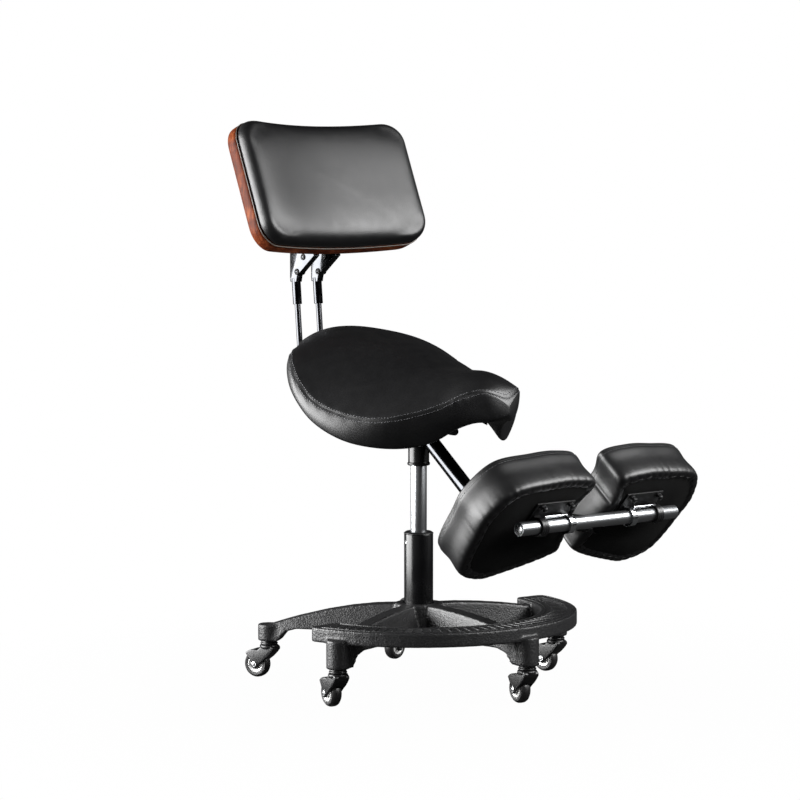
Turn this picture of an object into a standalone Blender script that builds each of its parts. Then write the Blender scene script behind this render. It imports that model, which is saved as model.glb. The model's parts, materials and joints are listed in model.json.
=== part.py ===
"""Saddle stool with a backrest, two knee pads and a five-caster base.

Metres, +Z up. The sitter faces -Y, the sitter's left is +X, and the floor is z = 0.
"""
import math

import bmesh
import bpy
from mathutils import Matrix, Vector

# Fits between neighbouring pieces
TOUCH_GAP = 0.0003
RUNNING_GAP = 0.0004

# The column stands this far behind the middle of the whole footprint
COLUMN_BACK = 0.0667

# Casters: angle of each leg from straight ahead, and where its wheel trails, from +X
CASTERS = {
    "front": (0, 77),
    "left": (72, 97),
    "rear_left": (144, 190),
    "rear_right": (-144, 112),
    "right": (-72, 78),
}
CASTER_HEIGHT = 0.066
CASTER_TRAIL = 0.023
WHEEL_RADIUS = 0.024
WHEEL_STEPS = 14
TYRE_WIDTH = 0.018
TYRE_DEPTH = 0.009
TYRE_SHOULDER = 0.004
CORE_WIDTH = 0.0192
CORE_DISH = 0.0030
FORK_GAP = 0.0008
FORK_PLATE = 0.0020
FORK_HEAD = 0.0070
FORK_HEAD_RADIUS = 0.0165
AXLE_RADIUS = 0.0030
AXLE_HEAD_RADIUS = 0.0052
AXLE_HEAD = 0.0020
KINGPIN_RADIUS = 0.0045
KINGPIN_RIVET_RADIUS = 0.0070
KINGPIN_RIVET = 0.0022
RACE_RADIUS = 0.0150
RACE_HEIGHT = 0.0070
STEM_RADIUS = 0.0050
STEM_LENGTH = 0.026

# Five-legged base with a half foot ring
STEM_CIRCLE = 0.266
BOSS_RADIUS = 0.0195
BOSS_PROUD = 0.0010
FREE_TIP_DEPTH = 0.028
LEG_TOP_HALF = 0.013
LEG_ROOT_HALF = 0.0275
LEG_TIP_HALF = 0.018
LEG_ROOT_DEPTH = 0.058
LEG_ARCH_RISE = 0.024
LEG_ARCH_FOOT = 0.034
LEG_FALL = 1.8
HUB_RISE = 0.075
HUB_RADIUS = 0.040
HUB_FOOT_RADIUS = 0.050
HUB_DEPTH = 0.064
RING_OUTER = 0.272
RING_WIDTH = 0.062
RING_DEPTH = 0.024
RING_RISE = 0.065
RING_SPAN = math.radians(84)
RING_CORNER = 0.012

# Column and gas lift
COLUMN_RADIUS = 0.025
COLUMN_WALL = 0.002
COLUMN_RISE = 0.119
COLUMN_BELOW_HUB = 0.010
COLUMN_FLOOR = 0.005
BUSH_LENGTH = 0.070
BUSH_FLANGE = 0.004
BUSH_FLANGE_RADIUS = 0.0256
CYLINDER_RADIUS = 0.014
CYLINDER_WALL = 0.0025
CYLINDER_SHOWN = 0.118
CYLINDER_HIDDEN = 0.095
CYLINDER_HEAD = 0.026
GLAND_LENGTH = 0.010
ROD_RADIUS = 0.0040
ROD_COLLAR_RADIUS = 0.0070
ROD_COLLAR = 0.0040
PISTON_LENGTH = 0.012
PISTON_LIFT = 0.040
BEARING_RADIUS = 0.0150
BEARING_HEIGHT = 0.0056
CLIP_RADIUS = 0.0090
CLIP_HEIGHT = 0.0040
VALVE_PIN_RADIUS = 0.0030
VALVE_PIN_RISE = 0.022
VALVE_PIN_DEPTH = 0.012

# Seat mechanism and release lever
SOCKET_WALL = 0.0030
SOCKET_LENGTH = 0.034
HOUSING_HALF = 0.034
HOUSING_NOSE_HALF = 0.021
HOUSING_WINGS = 0.018
HOUSING_FRONT = 0.027
HOUSING_REAR = 0.048
HOUSING_HEIGHT = 0.062
HOUSING_WALL = 0.004
HOUSING_FRONT_WALL = 0.011
SEAT_OVERRUN = 0.004
PLATE_LENGTH = 0.150
PLATE_BACK = 0.020
PLATE_HALF = 0.055
PLATE_THICKNESS = 0.004
LEVER_RADIUS = 0.0050
LEVER_GRIP_RADIUS = 0.0072
LEVER_PIVOT = 0.012
LEVER_STRAIGHT = 0.040
LEVER_BEND = 0.030
LEVER_SWEEP = math.radians(34)
LEVER_REACH = 0.150
LEVER_GRIP = 0.052
LEVER_TAIL = 0.006
LEVER_PIN_RADIUS = 0.0020
LEVER_PIN_REACH = 0.012
LEVER_SLOT = 0.0035
LEVER_DROOP = math.radians(8)

# Saddle: slope of the pan, and stations from tail to nose
SEAT_SLOPE = 0.165
PAN_DEPTH = 0.020
PAN_EDGE = 0.010
PAN_FIRST_RING = 4
PAN_LAST_RING = 12
UNDER_SHARES = (0.7, 0.35, 0, -0.35, -0.7)
BAND_BULGE = 0.005
SEAT_ARCH = 2.2
SEAT_RINGS = 20
# forward of the column, half width, crest over the pan, drop of the wings, side band, its tuck
SADDLE = (
    (-0.240, 0.000, 0.106, 0.000, 0.020, 0.000),
    (-0.228, 0.070, 0.122, 0.018, 0.034, 0.000),
    (-0.190, 0.117, 0.130, 0.033, 0.040, -0.002),
    (-0.145, 0.167, 0.124, 0.033, 0.039, -0.003),
    (-0.100, 0.196, 0.115, 0.056, 0.038, 0.000),
    (-0.050, 0.200, 0.104, 0.083, 0.040, 0.003),
    (0.010, 0.188, 0.087, 0.089, 0.046, 0.006),
    (0.060, 0.169, 0.071, 0.081, 0.049, 0.019),
    (0.096, 0.146, 0.067, 0.074, 0.052, 0.040),
    (0.122, 0.117, 0.066, 0.064, 0.050, 0.044),
    (0.148, 0.090, 0.066, 0.052, 0.042, 0.036),
    (0.178, 0.065, 0.059, 0.026, 0.048, 0.024),
    (0.198, 0.048, 0.050, 0.011, 0.053, 0.016),
    (0.211, 0.031, 0.039, 0.004, 0.045, 0.009),
    (0.222, 0.000, 0.014, 0.000, 0.014, 0.000),
)

# Knee rest
ARM_RADIUS = 0.0135
ARM_START_BACK = 0.0200
ARM_START_RISE = 0.012
ARM_START_SLOPE = math.radians(18)
ARM_SLOPE = math.radians(39.3)
ARM_UPPER_BEND = 0.060
ARM_LOWER_BEND = 0.070
ARM_DROP = 0.111
BAR_REACH = 0.426
BAR_OVER_ARM = 0.008
BAR_RADIUS = 0.011
BAR_WALL = 0.002
BAR_LENGTH = 0.356
PAD_TILT = math.radians(40)
PAD_STANDOFF = 0.020
PAD_BOARD = 0.010
PAD_BOARD_SHARE = 0.965
PAD_CUSHION = 0.064
PAD_BRACKET_INNER = 0.060
PAD_BRACKET_OUTER = 0.144
PAD_BRACKET_HALF = 0.034
PAD_BRACKET_PLATE = 0.003
STRAP_AT = 0.071
COLLAR_AT = 0.132
STRAP_WIDTH = 0.012
COLLAR_WIDTH = 0.014
STRAP_THICKNESS = 0.0042
COLLAR_RIDGE = 0.0012
CLAMP_NECK_HALF = 0.009
# outline of a pad seen along its cushion: outward from the middle of the bar, up from the bar
PAD_OUTLINE = (
    (0.020, -0.072),
    (0.042, 0.015),
    (0.030, 0.066),
    (0.080, 0.079),
    (0.135, 0.077),
    (0.208, 0.064),
    (0.238, 0.012),
    (0.236, -0.036),
    (0.221, -0.112),
    (0.170, -0.138),
    (0.120, -0.129),
    (0.026, -0.097),
)

# Backrest
BACK_ROD_RADIUS = 0.0052
BACK_ROD_HALF = 0.0245
BACK_ROD_RISE = 0.033
BACK_ROD_DEPTH = 0.025
BACK_ROD_CLIMB = math.radians(12.6)
BACK_ROD_BEND = 0.050
BACK_ROD_LEAN = math.radians(5)
BACK_ROD_BEHIND = 0.298
BACK_ROD_TOP = 0.278
BRACKET_WALL = 0.0024
BRACKET_SOCKET = 0.044
BRACKET_SOCKET_OVERLAP = 0.004
BRACKET_WIDTH = 0.0135
BRACKET_REAR = 0.0090
BRACKET_RISE = 0.052
BRACKET_GRIP = 0.046
BACK_WIDTH = 0.378
BACK_HEIGHT = 0.230
BACK_CORNER = 0.040
BACK_RECLINE = math.radians(22)
BACK_CURVE = 0.650
BACK_BEHIND = 0.284
BACK_OVER_SOCKET = 0.428
BACK_SHELL = 0.030
BACK_CUSHION = 0.034

# Heights that follow from the sizes above
HUB_TOP = CASTER_HEIGHT + HUB_RISE
COLUMN_TOP = HUB_TOP + COLUMN_RISE
COLUMN_FOOT = HUB_TOP - HUB_DEPTH - COLUMN_BELOW_HUB
COLUMN_FLOOR_TOP = COLUMN_FOOT + COLUMN_FLOOR
SOCKET_FOOT = COLUMN_TOP + CYLINDER_SHOWN
HOUSING_FOOT = SOCKET_FOOT + SOCKET_LENGTH
CYLINDER_TOP = HOUSING_FOOT + HOUSING_WALL - TOUCH_GAP
CYLINDER_FOOT = COLUMN_TOP - CYLINDER_HIDDEN
PLATE_TOP = HOUSING_FOOT + HOUSING_HEIGHT + PLATE_THICKNESS
PAN_FOOT = PLATE_TOP + TOUCH_GAP
SEAT_TILT = math.atan(SEAT_SLOPE)
LEVER_TAIL_RISE = (LEVER_PIVOT - VALVE_PIN_RADIUS) * math.tan(LEVER_DROOP)
LEVER_UNDERSIDE = CYLINDER_TOP + VALVE_PIN_RISE + TOUCH_GAP
LEVER_HEIGHT = LEVER_UNDERSIDE + LEVER_RADIUS / math.cos(LEVER_DROOP) - LEVER_TAIL_RISE
ARM_START_HEIGHT = HOUSING_FOOT + ARM_START_RISE
ARM_END_HEIGHT = ARM_START_HEIGHT - ARM_DROP
BAR_HEIGHT = ARM_END_HEIGHT + BAR_OVER_ARM
CLAMP_BORE = BAR_RADIUS + TOUCH_GAP
BACK_ROD_START = HOUSING_FOOT + BACK_ROD_RISE
BACK_HEIGHT_MIDDLE = HOUSING_FOOT + BACK_OVER_SOCKET

# A round hole is turned a little, so that its corners miss those of the piece it is cut in
HOLE_TURN = (0, 0, math.radians(5))

MATERIALS = {
    "base_black": ((0.022, 0.022, 0.023), 0.55, 0.0),
    "column_black": ((0.012, 0.012, 0.013), 0.30, 0.0),
    "chrome": ((0.72, 0.73, 0.74), 0.12, 1.0),
    "steel": ((0.45, 0.46, 0.47), 0.35, 1.0),
    "black_steel": ((0.020, 0.020, 0.021), 0.45, 0.6),
    "black_plastic": ((0.015, 0.015, 0.016), 0.45, 0.0),
    "tyre": ((0.018, 0.018, 0.019), 0.50, 0.0),
    "wheel_core": ((0.62, 0.62, 0.61), 0.35, 0.0),
    "leather": ((0.014, 0.014, 0.015), 0.42, 0.0),
    "board": ((0.020, 0.019, 0.018), 0.80, 0.0),
    "rosewood": ((0.200, 0.060, 0.025), 0.35, 0.0),
}


def clear_scene():
    for obj in list(bpy.data.objects):
        bpy.data.objects.remove(obj)
    for collection in list(bpy.data.collections):
        bpy.data.collections.remove(collection)


def new_collection(name):
    collection = bpy.data.collections.new(name)
    bpy.context.scene.collection.children.link(collection)
    return collection


def make_materials():
    made = {}
    for name, (color, roughness, metallic) in MATERIALS.items():
        material = bpy.data.materials.new(name)
        material.use_nodes = True
        shader = material.node_tree.nodes["Principled BSDF"]
        shader.inputs["Base Color"].default_value = (*color, 1.0)
        shader.inputs["Roughness"].default_value = roughness
        shader.inputs["Metallic"].default_value = metallic
        made[name] = material
    return made


clear_scene()
PARTS = new_collection("saddle_stool")
CUTTERS = new_collection("saddle_stool_cutters")
FINISH = make_materials()


def add_object(name, data, parent, finish, location=(0, 0, 0), rotation=(0, 0, 0)):
    """Link an object under its parent; without a finish it is a cutter or a piece to be joined."""
    obj = bpy.data.objects.new(name, data)
    (PARTS if finish else CUTTERS).objects.link(obj)
    obj.parent = parent
    obj.location = location
    obj.rotation_euler = rotation
    if finish:
        obj.data.materials.append(FINISH[finish])
    else:
        obj.hide_render = True
        obj.display_type = "WIRE"
    return obj


def add_empty(name, parent, location=(0, 0, 0), rotation=(0, 0, 0)):
    empty = bpy.data.objects.new(name, None)
    PARTS.objects.link(empty)
    empty.parent = parent
    empty.location = location
    empty.rotation_euler = rotation
    return empty


def turned(name, profile, steps, parent, finish, location=(0, 0, 0), rotation=(0, 0, 0), ring=False):
    """Turn a profile of (radius, height) points about Z; a ring's profile is a closed loop."""
    mesh = bpy.data.meshes.new(name)
    edges = [(i, i + 1) for i in range(len(profile) - 1)]
    if ring:
        edges.append((len(profile) - 1, 0))
    mesh.from_pydata([(radius, 0, height) for radius, height in profile], edges, [])
    obj = add_object(name, mesh, parent, finish, location, rotation)
    screw = obj.modifiers.new("Turn", "SCREW")
    screw.steps = screw.render_steps = steps
    screw.use_merge_vertices = True
    screw.merge_threshold = 0.00001
    screw.use_smooth_shade = True
    return obj


def cylinder_profile(radius, top, foot):
    return [(0, top), (radius, top), (radius, foot), (0, foot)]


def ring_profile(outer, inner, top, foot):
    return [(outer, top), (outer, foot), (inner, foot), (inner, top)]


def box(name, low, high, parent, finish, location=(0, 0, 0), rotation=(0, 0, 0)):
    mesh = bpy.data.meshes.new(name)
    shape = bmesh.new()
    bmesh.ops.create_cube(shape, size=1)
    low, high = Vector(low), Vector(high)
    for vertex in shape.verts:
        vertex.co = Vector(h if c > 0 else l for c, l, h in zip(vertex.co, low, high))
    shape.to_mesh(mesh)
    shape.free()
    return add_object(name, mesh, parent, finish, location, rotation)


def outline_plate(name, outlines, low, high, parent, finish, location=(0, 0, 0), rotation=(0, 0, 0)):
    """Extrude closed outlines in the local XY plane from low to high; inner outlines are holes."""
    curve = bpy.data.curves.new(name, "CURVE")
    curve.dimensions = "2D"
    curve.fill_mode = "BOTH"
    curve.extrude = (high - low) / 2
    for outline in outlines:
        spline = curve.splines.new("POLY")
        spline.points.add(len(outline) - 1)
        for point, (x, y) in zip(spline.points, outline):
            point.co = (x, y, 0, 1)
        spline.use_cyclic_u = True
    rough = add_object(name + "_curve", curve, None, None)
    obj = add_object(name, curve_mesh(rough), parent, finish, location, rotation)
    for vertex in obj.data.vertices:
        vertex.co.z += (low + high) / 2
    return obj


def curve_mesh(curve_object):
    """Make a closed mesh of an evaluated curve, with its caps welded, and drop the curve."""
    bpy.context.view_layer.update()
    graph = bpy.context.evaluated_depsgraph_get()
    mesh = bpy.data.meshes.new_from_object(curve_object.evaluated_get(graph))
    bpy.data.objects.remove(curve_object)
    shape = bmesh.new()
    shape.from_mesh(mesh)
    bmesh.ops.remove_doubles(shape, verts=shape.verts, dist=0.00001)
    bmesh.ops.recalc_face_normals(shape, faces=shape.faces)
    if shape.calc_volume(signed=True) < 0:
        bmesh.ops.reverse_faces(shape, faces=shape.faces)
    shape.to_mesh(mesh)
    shape.free()
    mesh.materials.clear()
    return mesh


def tube(name, points, radius, sides, parent, finish):
    curve = bpy.data.curves.new(name, "CURVE")
    curve.dimensions = "3D"
    curve.bevel_depth = radius
    curve.bevel_resolution = sides // 2 - 2
    curve.use_fill_caps = True
    spline = curve.splines.new("POLY")
    spline.points.add(len(points) - 1)
    for point, place in zip(spline.points, points):
        point.co = (*place, 1)
    rough = add_object(name + "_curve", curve, None, None)
    obj = add_object(name, curve_mesh(rough), parent, finish)
    obj.data.shade_smooth()
    obj.data.set_sharp_from_angle(angle=math.radians(50))
    return obj


def bent_path(start, heading, steps, side=0.0):
    """Follow straight runs and bends in a plane of constant X; heading is the climb from +Y."""
    place = Vector((side, start[0], start[1]))
    points = [place.copy()]
    for kind, *values in steps:
        if kind == "run":
            place = place + Vector((0, math.cos(heading), math.sin(heading))) * values[0]
            points.append(place.copy())
            continue
        radius, turn = values
        count = max(3, round(abs(turn) / math.radians(8)))
        chord = 2 * radius * math.sin(abs(turn) / count / 2)
        for _ in range(count):
            heading += turn / count / 2
            place = place + Vector((0, math.cos(heading), math.sin(heading))) * chord
            heading += turn / count / 2
            points.append(place.copy())
    return points


def moulded(name, around, rings, place, parent, finish):
    """Mould a sphere: place(ring, spoke) gives each point, and rings 0 and last are its poles."""
    mesh = bpy.data.meshes.new(name)
    shape = bmesh.new()
    bmesh.ops.create_uvsphere(shape, u_segments=around, v_segments=rings, radius=1)
    moved = []
    for vertex in shape.verts:
        ring = round(math.acos(max(-1, min(1, vertex.co.z))) / math.pi * rings)
        spoke = round(math.atan2(vertex.co.y, vertex.co.x) / math.tau * around) % around
        moved.append((vertex, Vector(place(ring, spoke))))
    for vertex, point in moved:
        vertex.co = point
    finish_shape(shape, mesh)
    mesh.shade_smooth()
    mesh.set_sharp_from_angle(angle=math.radians(60))
    return add_object(name, mesh, parent, finish)


def slab(name, columns, rows, place, parent, finish, rotation=(0, 0, 0)):
    """Divide a block into a grid: place(column, row, top) gives each point of its two faces."""
    mesh = bpy.data.meshes.new(name)
    shape = bmesh.new()
    bmesh.ops.create_cube(shape, size=1)
    for axis, count in ((0, columns), (1, rows)):
        crossing = [e for e in shape.edges if abs(e.verts[0].co[axis] - e.verts[1].co[axis]) > 0.5]
        if count > 2:
            bmesh.ops.subdivide_edges(shape, edges=crossing, cuts=count - 2)
    for vertex in shape.verts:
        column = round((vertex.co.x + 0.5) * (columns - 1))
        row = round((vertex.co.y + 0.5) * (rows - 1))
        vertex.co = place(column, row, vertex.co.z > 0)
    finish_shape(shape, mesh)
    return add_object(name, mesh, parent, finish, rotation=rotation)


def finish_shape(shape, mesh):
    """Split faces along their short diagonals, so that faces laid together match, and face outwards."""
    bmesh.ops.triangulate(shape, faces=shape.faces, quad_method="SHORT_EDGE")
    if shape.calc_volume(signed=True) < 0:
        bmesh.ops.reverse_faces(shape, faces=shape.faces)
    shape.to_mesh(mesh)
    shape.free()


def combine(obj, other, operation):
    modifier = obj.modifiers.new(other.name, "BOOLEAN")
    modifier.operation = operation
    modifier.object = other
    modifier.solver = "EXACT"


def arc(center, radius, start, end, count):
    """Points of an arc in a plane, both ends included, angles from +X."""
    steps = [start + (end - start) * i / count for i in range(count + 1)]
    return [(center[0] + radius * math.cos(a), center[1] + radius * math.sin(a)) for a in steps]


def closed_spline(points, per_span):
    """Points of a smooth closed curve through the given points."""
    count = len(points)
    curve = []
    for i in range(count):
        before, here, there, after = (Vector(points[(i + k) % count]) for k in (-1, 0, 1, 2))
        for step in range(per_span):
            t = step / per_span
            bend = 2 * before - 5 * here + 4 * there - after
            twist = 3 * here - before - 3 * there + after
            curve.append((2 * here + (there - before) * t + bend * t * t + twist * t**3) / 2)
    return curve


def along(stations, place):
    """Read a table of stations at a place between them, with a smooth curve in each column."""
    last = len(stations) - 1
    i = max(k for k in range(last) if stations[k][0] <= place or k == 0)

    def slope(k, column):
        low, high = stations[max(k - 1, 0)], stations[min(k + 1, last)]
        return (high[column] - low[column]) / (high[0] - low[0])

    here, there = stations[i], stations[i + 1]
    span = there[0] - here[0]
    t = (place - here[0]) / span
    values = []
    for column in range(1, len(here)):
        rise = there[column] - here[column]
        start, end = slope(i, column) * span, slope(i + 1, column) * span
        cubic = (start + end - 2 * rise) * t**3 + (3 * rise - 2 * start - end) * t * t
        values.append(here[column] + start * t + cubic)
    return values


def build_caster(name, leg_angle, trail_angle, base):
    lean = math.radians(leg_angle)
    spot = (STEM_CIRCLE * math.sin(lean), -STEM_CIRCLE * math.cos(lean), 0)
    swivel = add_empty("caster_" + name, base, spot, (0, 0, math.radians(trail_angle)))
    wheel_height = WHEEL_RADIUS * math.cos(math.pi / WHEEL_STEPS)
    wheel = add_empty("wheel_" + name, swivel, (CASTER_TRAIL, 0, wheel_height), (math.pi / 2, 0, 0))

    core_radius = WHEEL_RADIUS - TYRE_DEPTH
    half = TYRE_WIDTH / 2
    tyre = [
        (WHEEL_RADIUS - TYRE_SHOULDER, half),
        (WHEEL_RADIUS, half - TYRE_SHOULDER),
        (WHEEL_RADIUS, TYRE_SHOULDER - half),
        (WHEEL_RADIUS - TYRE_SHOULDER, -half),
        (core_radius, -half),
        (core_radius, half),
    ]
    turned("tyre_" + name, tyre, WHEEL_STEPS, wheel, "tyre", ring=True)
    rim = core_radius - TOUCH_GAP
    bore = AXLE_RADIUS + RUNNING_GAP
    dish = CORE_WIDTH / 2 - CORE_DISH
    core = [
        (rim, half),
        (rim, -half),
        (rim - CORE_DISH, -dish),
        (bore + CORE_DISH, -dish),
        (bore, -CORE_WIDTH / 2),
        (bore, CORE_WIDTH / 2),
        (bore + CORE_DISH, dish),
        (rim - CORE_DISH, dish),
    ]
    turned("wheel_core_" + name, core, WHEEL_STEPS, wheel, "wheel_core", ring=True)

    plate_in = CORE_WIDTH / 2 + FORK_GAP
    plate_out = plate_in + FORK_PLATE
    head_in = plate_out + TOUCH_GAP
    axle = [
        (0, head_in + AXLE_HEAD),
        (AXLE_HEAD_RADIUS, head_in + AXLE_HEAD),
        (AXLE_HEAD_RADIUS, head_in),
        (AXLE_RADIUS, head_in),
        (AXLE_RADIUS, -head_in),
        (AXLE_HEAD_RADIUS, -head_in),
        (AXLE_HEAD_RADIUS, -head_in - AXLE_HEAD),
        (0, -head_in - AXLE_HEAD),
    ]
    turned("axle_" + name, axle, 8, wheel, "steel")

    head_top = CASTER_HEIGHT - TOUCH_GAP - RACE_HEIGHT - TOUCH_GAP
    head_foot = head_top - FORK_HEAD
    pin_hole = KINGPIN_RADIUS + RUNNING_GAP
    lobe = math.asin(plate_out / FORK_HEAD_RADIUS)
    head = [arc((0, 0), FORK_HEAD_RADIUS, lobe, math.tau - lobe, 10)]
    head[0] = head[0] + [(CASTER_TRAIL, -plate_out), (CASTER_TRAIL, plate_out)]
    head.append(arc((0, 0), pin_hole, 0, math.tau * 7 / 8, 7))
    fork = outline_plate("fork_" + name, head, head_foot, head_top, swivel, "black_plastic")
    foot_radius = AXLE_HEAD_RADIUS + FORK_PLATE
    cheek = arc((CASTER_TRAIL, wheel_height), foot_radius, math.radians(-160), math.radians(20), 6)
    cheek = cheek + [(CASTER_TRAIL + foot_radius, head_foot), (CASTER_TRAIL, head_top - TOUCH_GAP)]
    cheek = cheek + [(-KINGPIN_RADIUS, head_top - TOUCH_GAP), (-KINGPIN_RADIUS, head_foot)]
    hole = arc((CASTER_TRAIL, wheel_height), AXLE_RADIUS + TOUCH_GAP, 0, math.tau * 7 / 8, 7)
    for side, near, far in (("a", plate_in, plate_out), ("b", -plate_out, -plate_in)):
        turn = (math.pi / 2, 0, 0)
        part = outline_plate(f"cheek_{side}_{name}", [cheek, hole], near, far, swivel, None, rotation=turn)
        combine(fork, part, "UNION")

    race_foot = head_top + TOUCH_GAP
    race_top = race_foot + RACE_HEIGHT
    rivet_top = head_foot - TOUCH_GAP
    stem = [
        (0, race_top + STEM_LENGTH),
        (STEM_RADIUS, race_top + STEM_LENGTH),
        (STEM_RADIUS, race_top),
        (RACE_RADIUS, race_top),
        (RACE_RADIUS, race_foot),
        (KINGPIN_RADIUS, race_foot),
        (KINGPIN_RADIUS, rivet_top),
        (KINGPIN_RIVET_RADIUS, rivet_top),
        (KINGPIN_RIVET_RADIUS, rivet_top - KINGPIN_RIVET),
        (0, rivet_top - KINGPIN_RIVET),
    ]
    turned("stem_" + name, stem, 12, base, "steel", spot)


def build_leg(name, angle, tip_top, base):
    """One tapered leg, arched underneath, from inside the hub to the middle of its boss."""
    inner = (COLUMN_RADIUS + HUB_RADIUS) / 2
    length = STEM_CIRCLE - inner
    boss_edge = STEM_CIRCLE - BOSS_RADIUS
    foot = CASTER_HEIGHT + BOSS_PROUD
    arch = CASTER_HEIGHT + LEG_ARCH_RISE
    root = HUB_TOP - LEG_ROOT_DEPTH
    shoulder = HUB_TOP - BOSS_PROUD
    stations = (
        (inner, root),
        (inner + length * 0.18, root + (arch - root) * 0.35),
        (inner + length * 0.36, root + (arch - root) * 0.75),
        (inner + length * 0.55, arch),
        (boss_edge - LEG_ARCH_FOOT, arch),
        (boss_edge - LEG_ARCH_FOOT * 0.4, foot + (arch - foot) * 0.75),
        (boss_edge, foot),
        (STEM_CIRCLE, foot),
    )

    def point(column, row, top):
        radius, underside = stations[column]
        share = (radius - inner) / length
        crest = shoulder - (shoulder - tip_top) * share**LEG_FALL
        foot_half = LEG_ROOT_HALF + (LEG_TIP_HALF - LEG_ROOT_HALF) * share
        half = LEG_TOP_HALF if top else foot_half
        return radius, half * (2 * row - 1), crest if top else underside

    return slab(name, len(stations), 2, point, base, None, (0, 0, math.radians(angle - 90)))


def build_foot_ring(base):
    """Half ring centred straight ahead, with rounded corners at its two ends."""
    inner = RING_OUTER - RING_WIDTH
    ahead = -math.pi / 2
    outline = []
    for sign in (1, -1):
        end = ahead + sign * RING_SPAN
        corners = []
        for radius, inward in ((RING_OUTER, -1), (inner, 1)):
            middle = radius + inward * RING_CORNER
            back = math.asin(RING_CORNER / middle) * sign
            center = (middle * math.cos(end - back), middle * math.sin(end - back))
            faces = end - back
            first = faces if inward < 0 else faces + sign * math.pi / 2
            corners.append(arc(center, RING_CORNER, first, first + sign * math.pi / 2, 4))
        outline.append(corners)
    sweep = RING_SPAN - math.asin(RING_CORNER / (inner + RING_CORNER)) * 1.05
    outer_arc = arc((0, 0), RING_OUTER, ahead - sweep, ahead + sweep, 30)
    inner_arc = arc((0, 0), inner, ahead + sweep * 0.98, ahead - sweep * 0.98, 26)
    (right_out, right_in), (left_out, left_in) = outline
    points = outer_arc + right_out + right_in + inner_arc + left_in[::-1] + left_out[::-1]
    top = CASTER_HEIGHT + RING_RISE
    return outline_plate("foot_ring", [points], top - RING_DEPTH, top, base, None)


def build_base(base):
    hub_foot = HUB_TOP - HUB_DEPTH
    bore = COLUMN_RADIUS + TOUCH_GAP
    hub = [(HUB_RADIUS, HUB_TOP), (HUB_FOOT_RADIUS, hub_foot), (bore, hub_foot), (bore, HUB_TOP)]
    star = turned("star_base", hub, 30, base, "base_black", ring=True)
    ring_foot = CASTER_HEIGHT + RING_RISE - RING_DEPTH
    reach = math.degrees(RING_SPAN)
    for name, (angle, _) in CASTERS.items():
        under_ring = abs(angle) < reach
        tip_top = ring_foot + RING_DEPTH / 4 if under_ring else CASTER_HEIGHT + FREE_TIP_DEPTH
        combine(star, build_leg("leg_" + name, angle, tip_top, base), "UNION")
        spot = (STEM_CIRCLE * math.sin(math.radians(angle)), -STEM_CIRCLE * math.cos(math.radians(angle)), 0)
        boss_top = tip_top + BOSS_PROUD
        boss_profile = cylinder_profile(BOSS_RADIUS, boss_top, CASTER_HEIGHT)
        boss = turned("boss_" + name, boss_profile, 22, base, None, spot)
        combine(star, boss, "UNION")
    combine(star, build_foot_ring(base), "UNION")
    for name, (angle, _) in CASTERS.items():
        spot = (STEM_CIRCLE * math.sin(math.radians(angle)), -STEM_CIRCLE * math.cos(math.radians(angle)), 0)
        hole_top = CASTER_HEIGHT + STEM_LENGTH + TOUCH_GAP
        hole = cylinder_profile(STEM_RADIUS + TOUCH_GAP, hole_top, CASTER_HEIGHT - RACE_HEIGHT)
        combine(star, turned("stem_hole_" + name, hole, 14, base, None, spot, HOLE_TURN), "DIFFERENCE")


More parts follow.
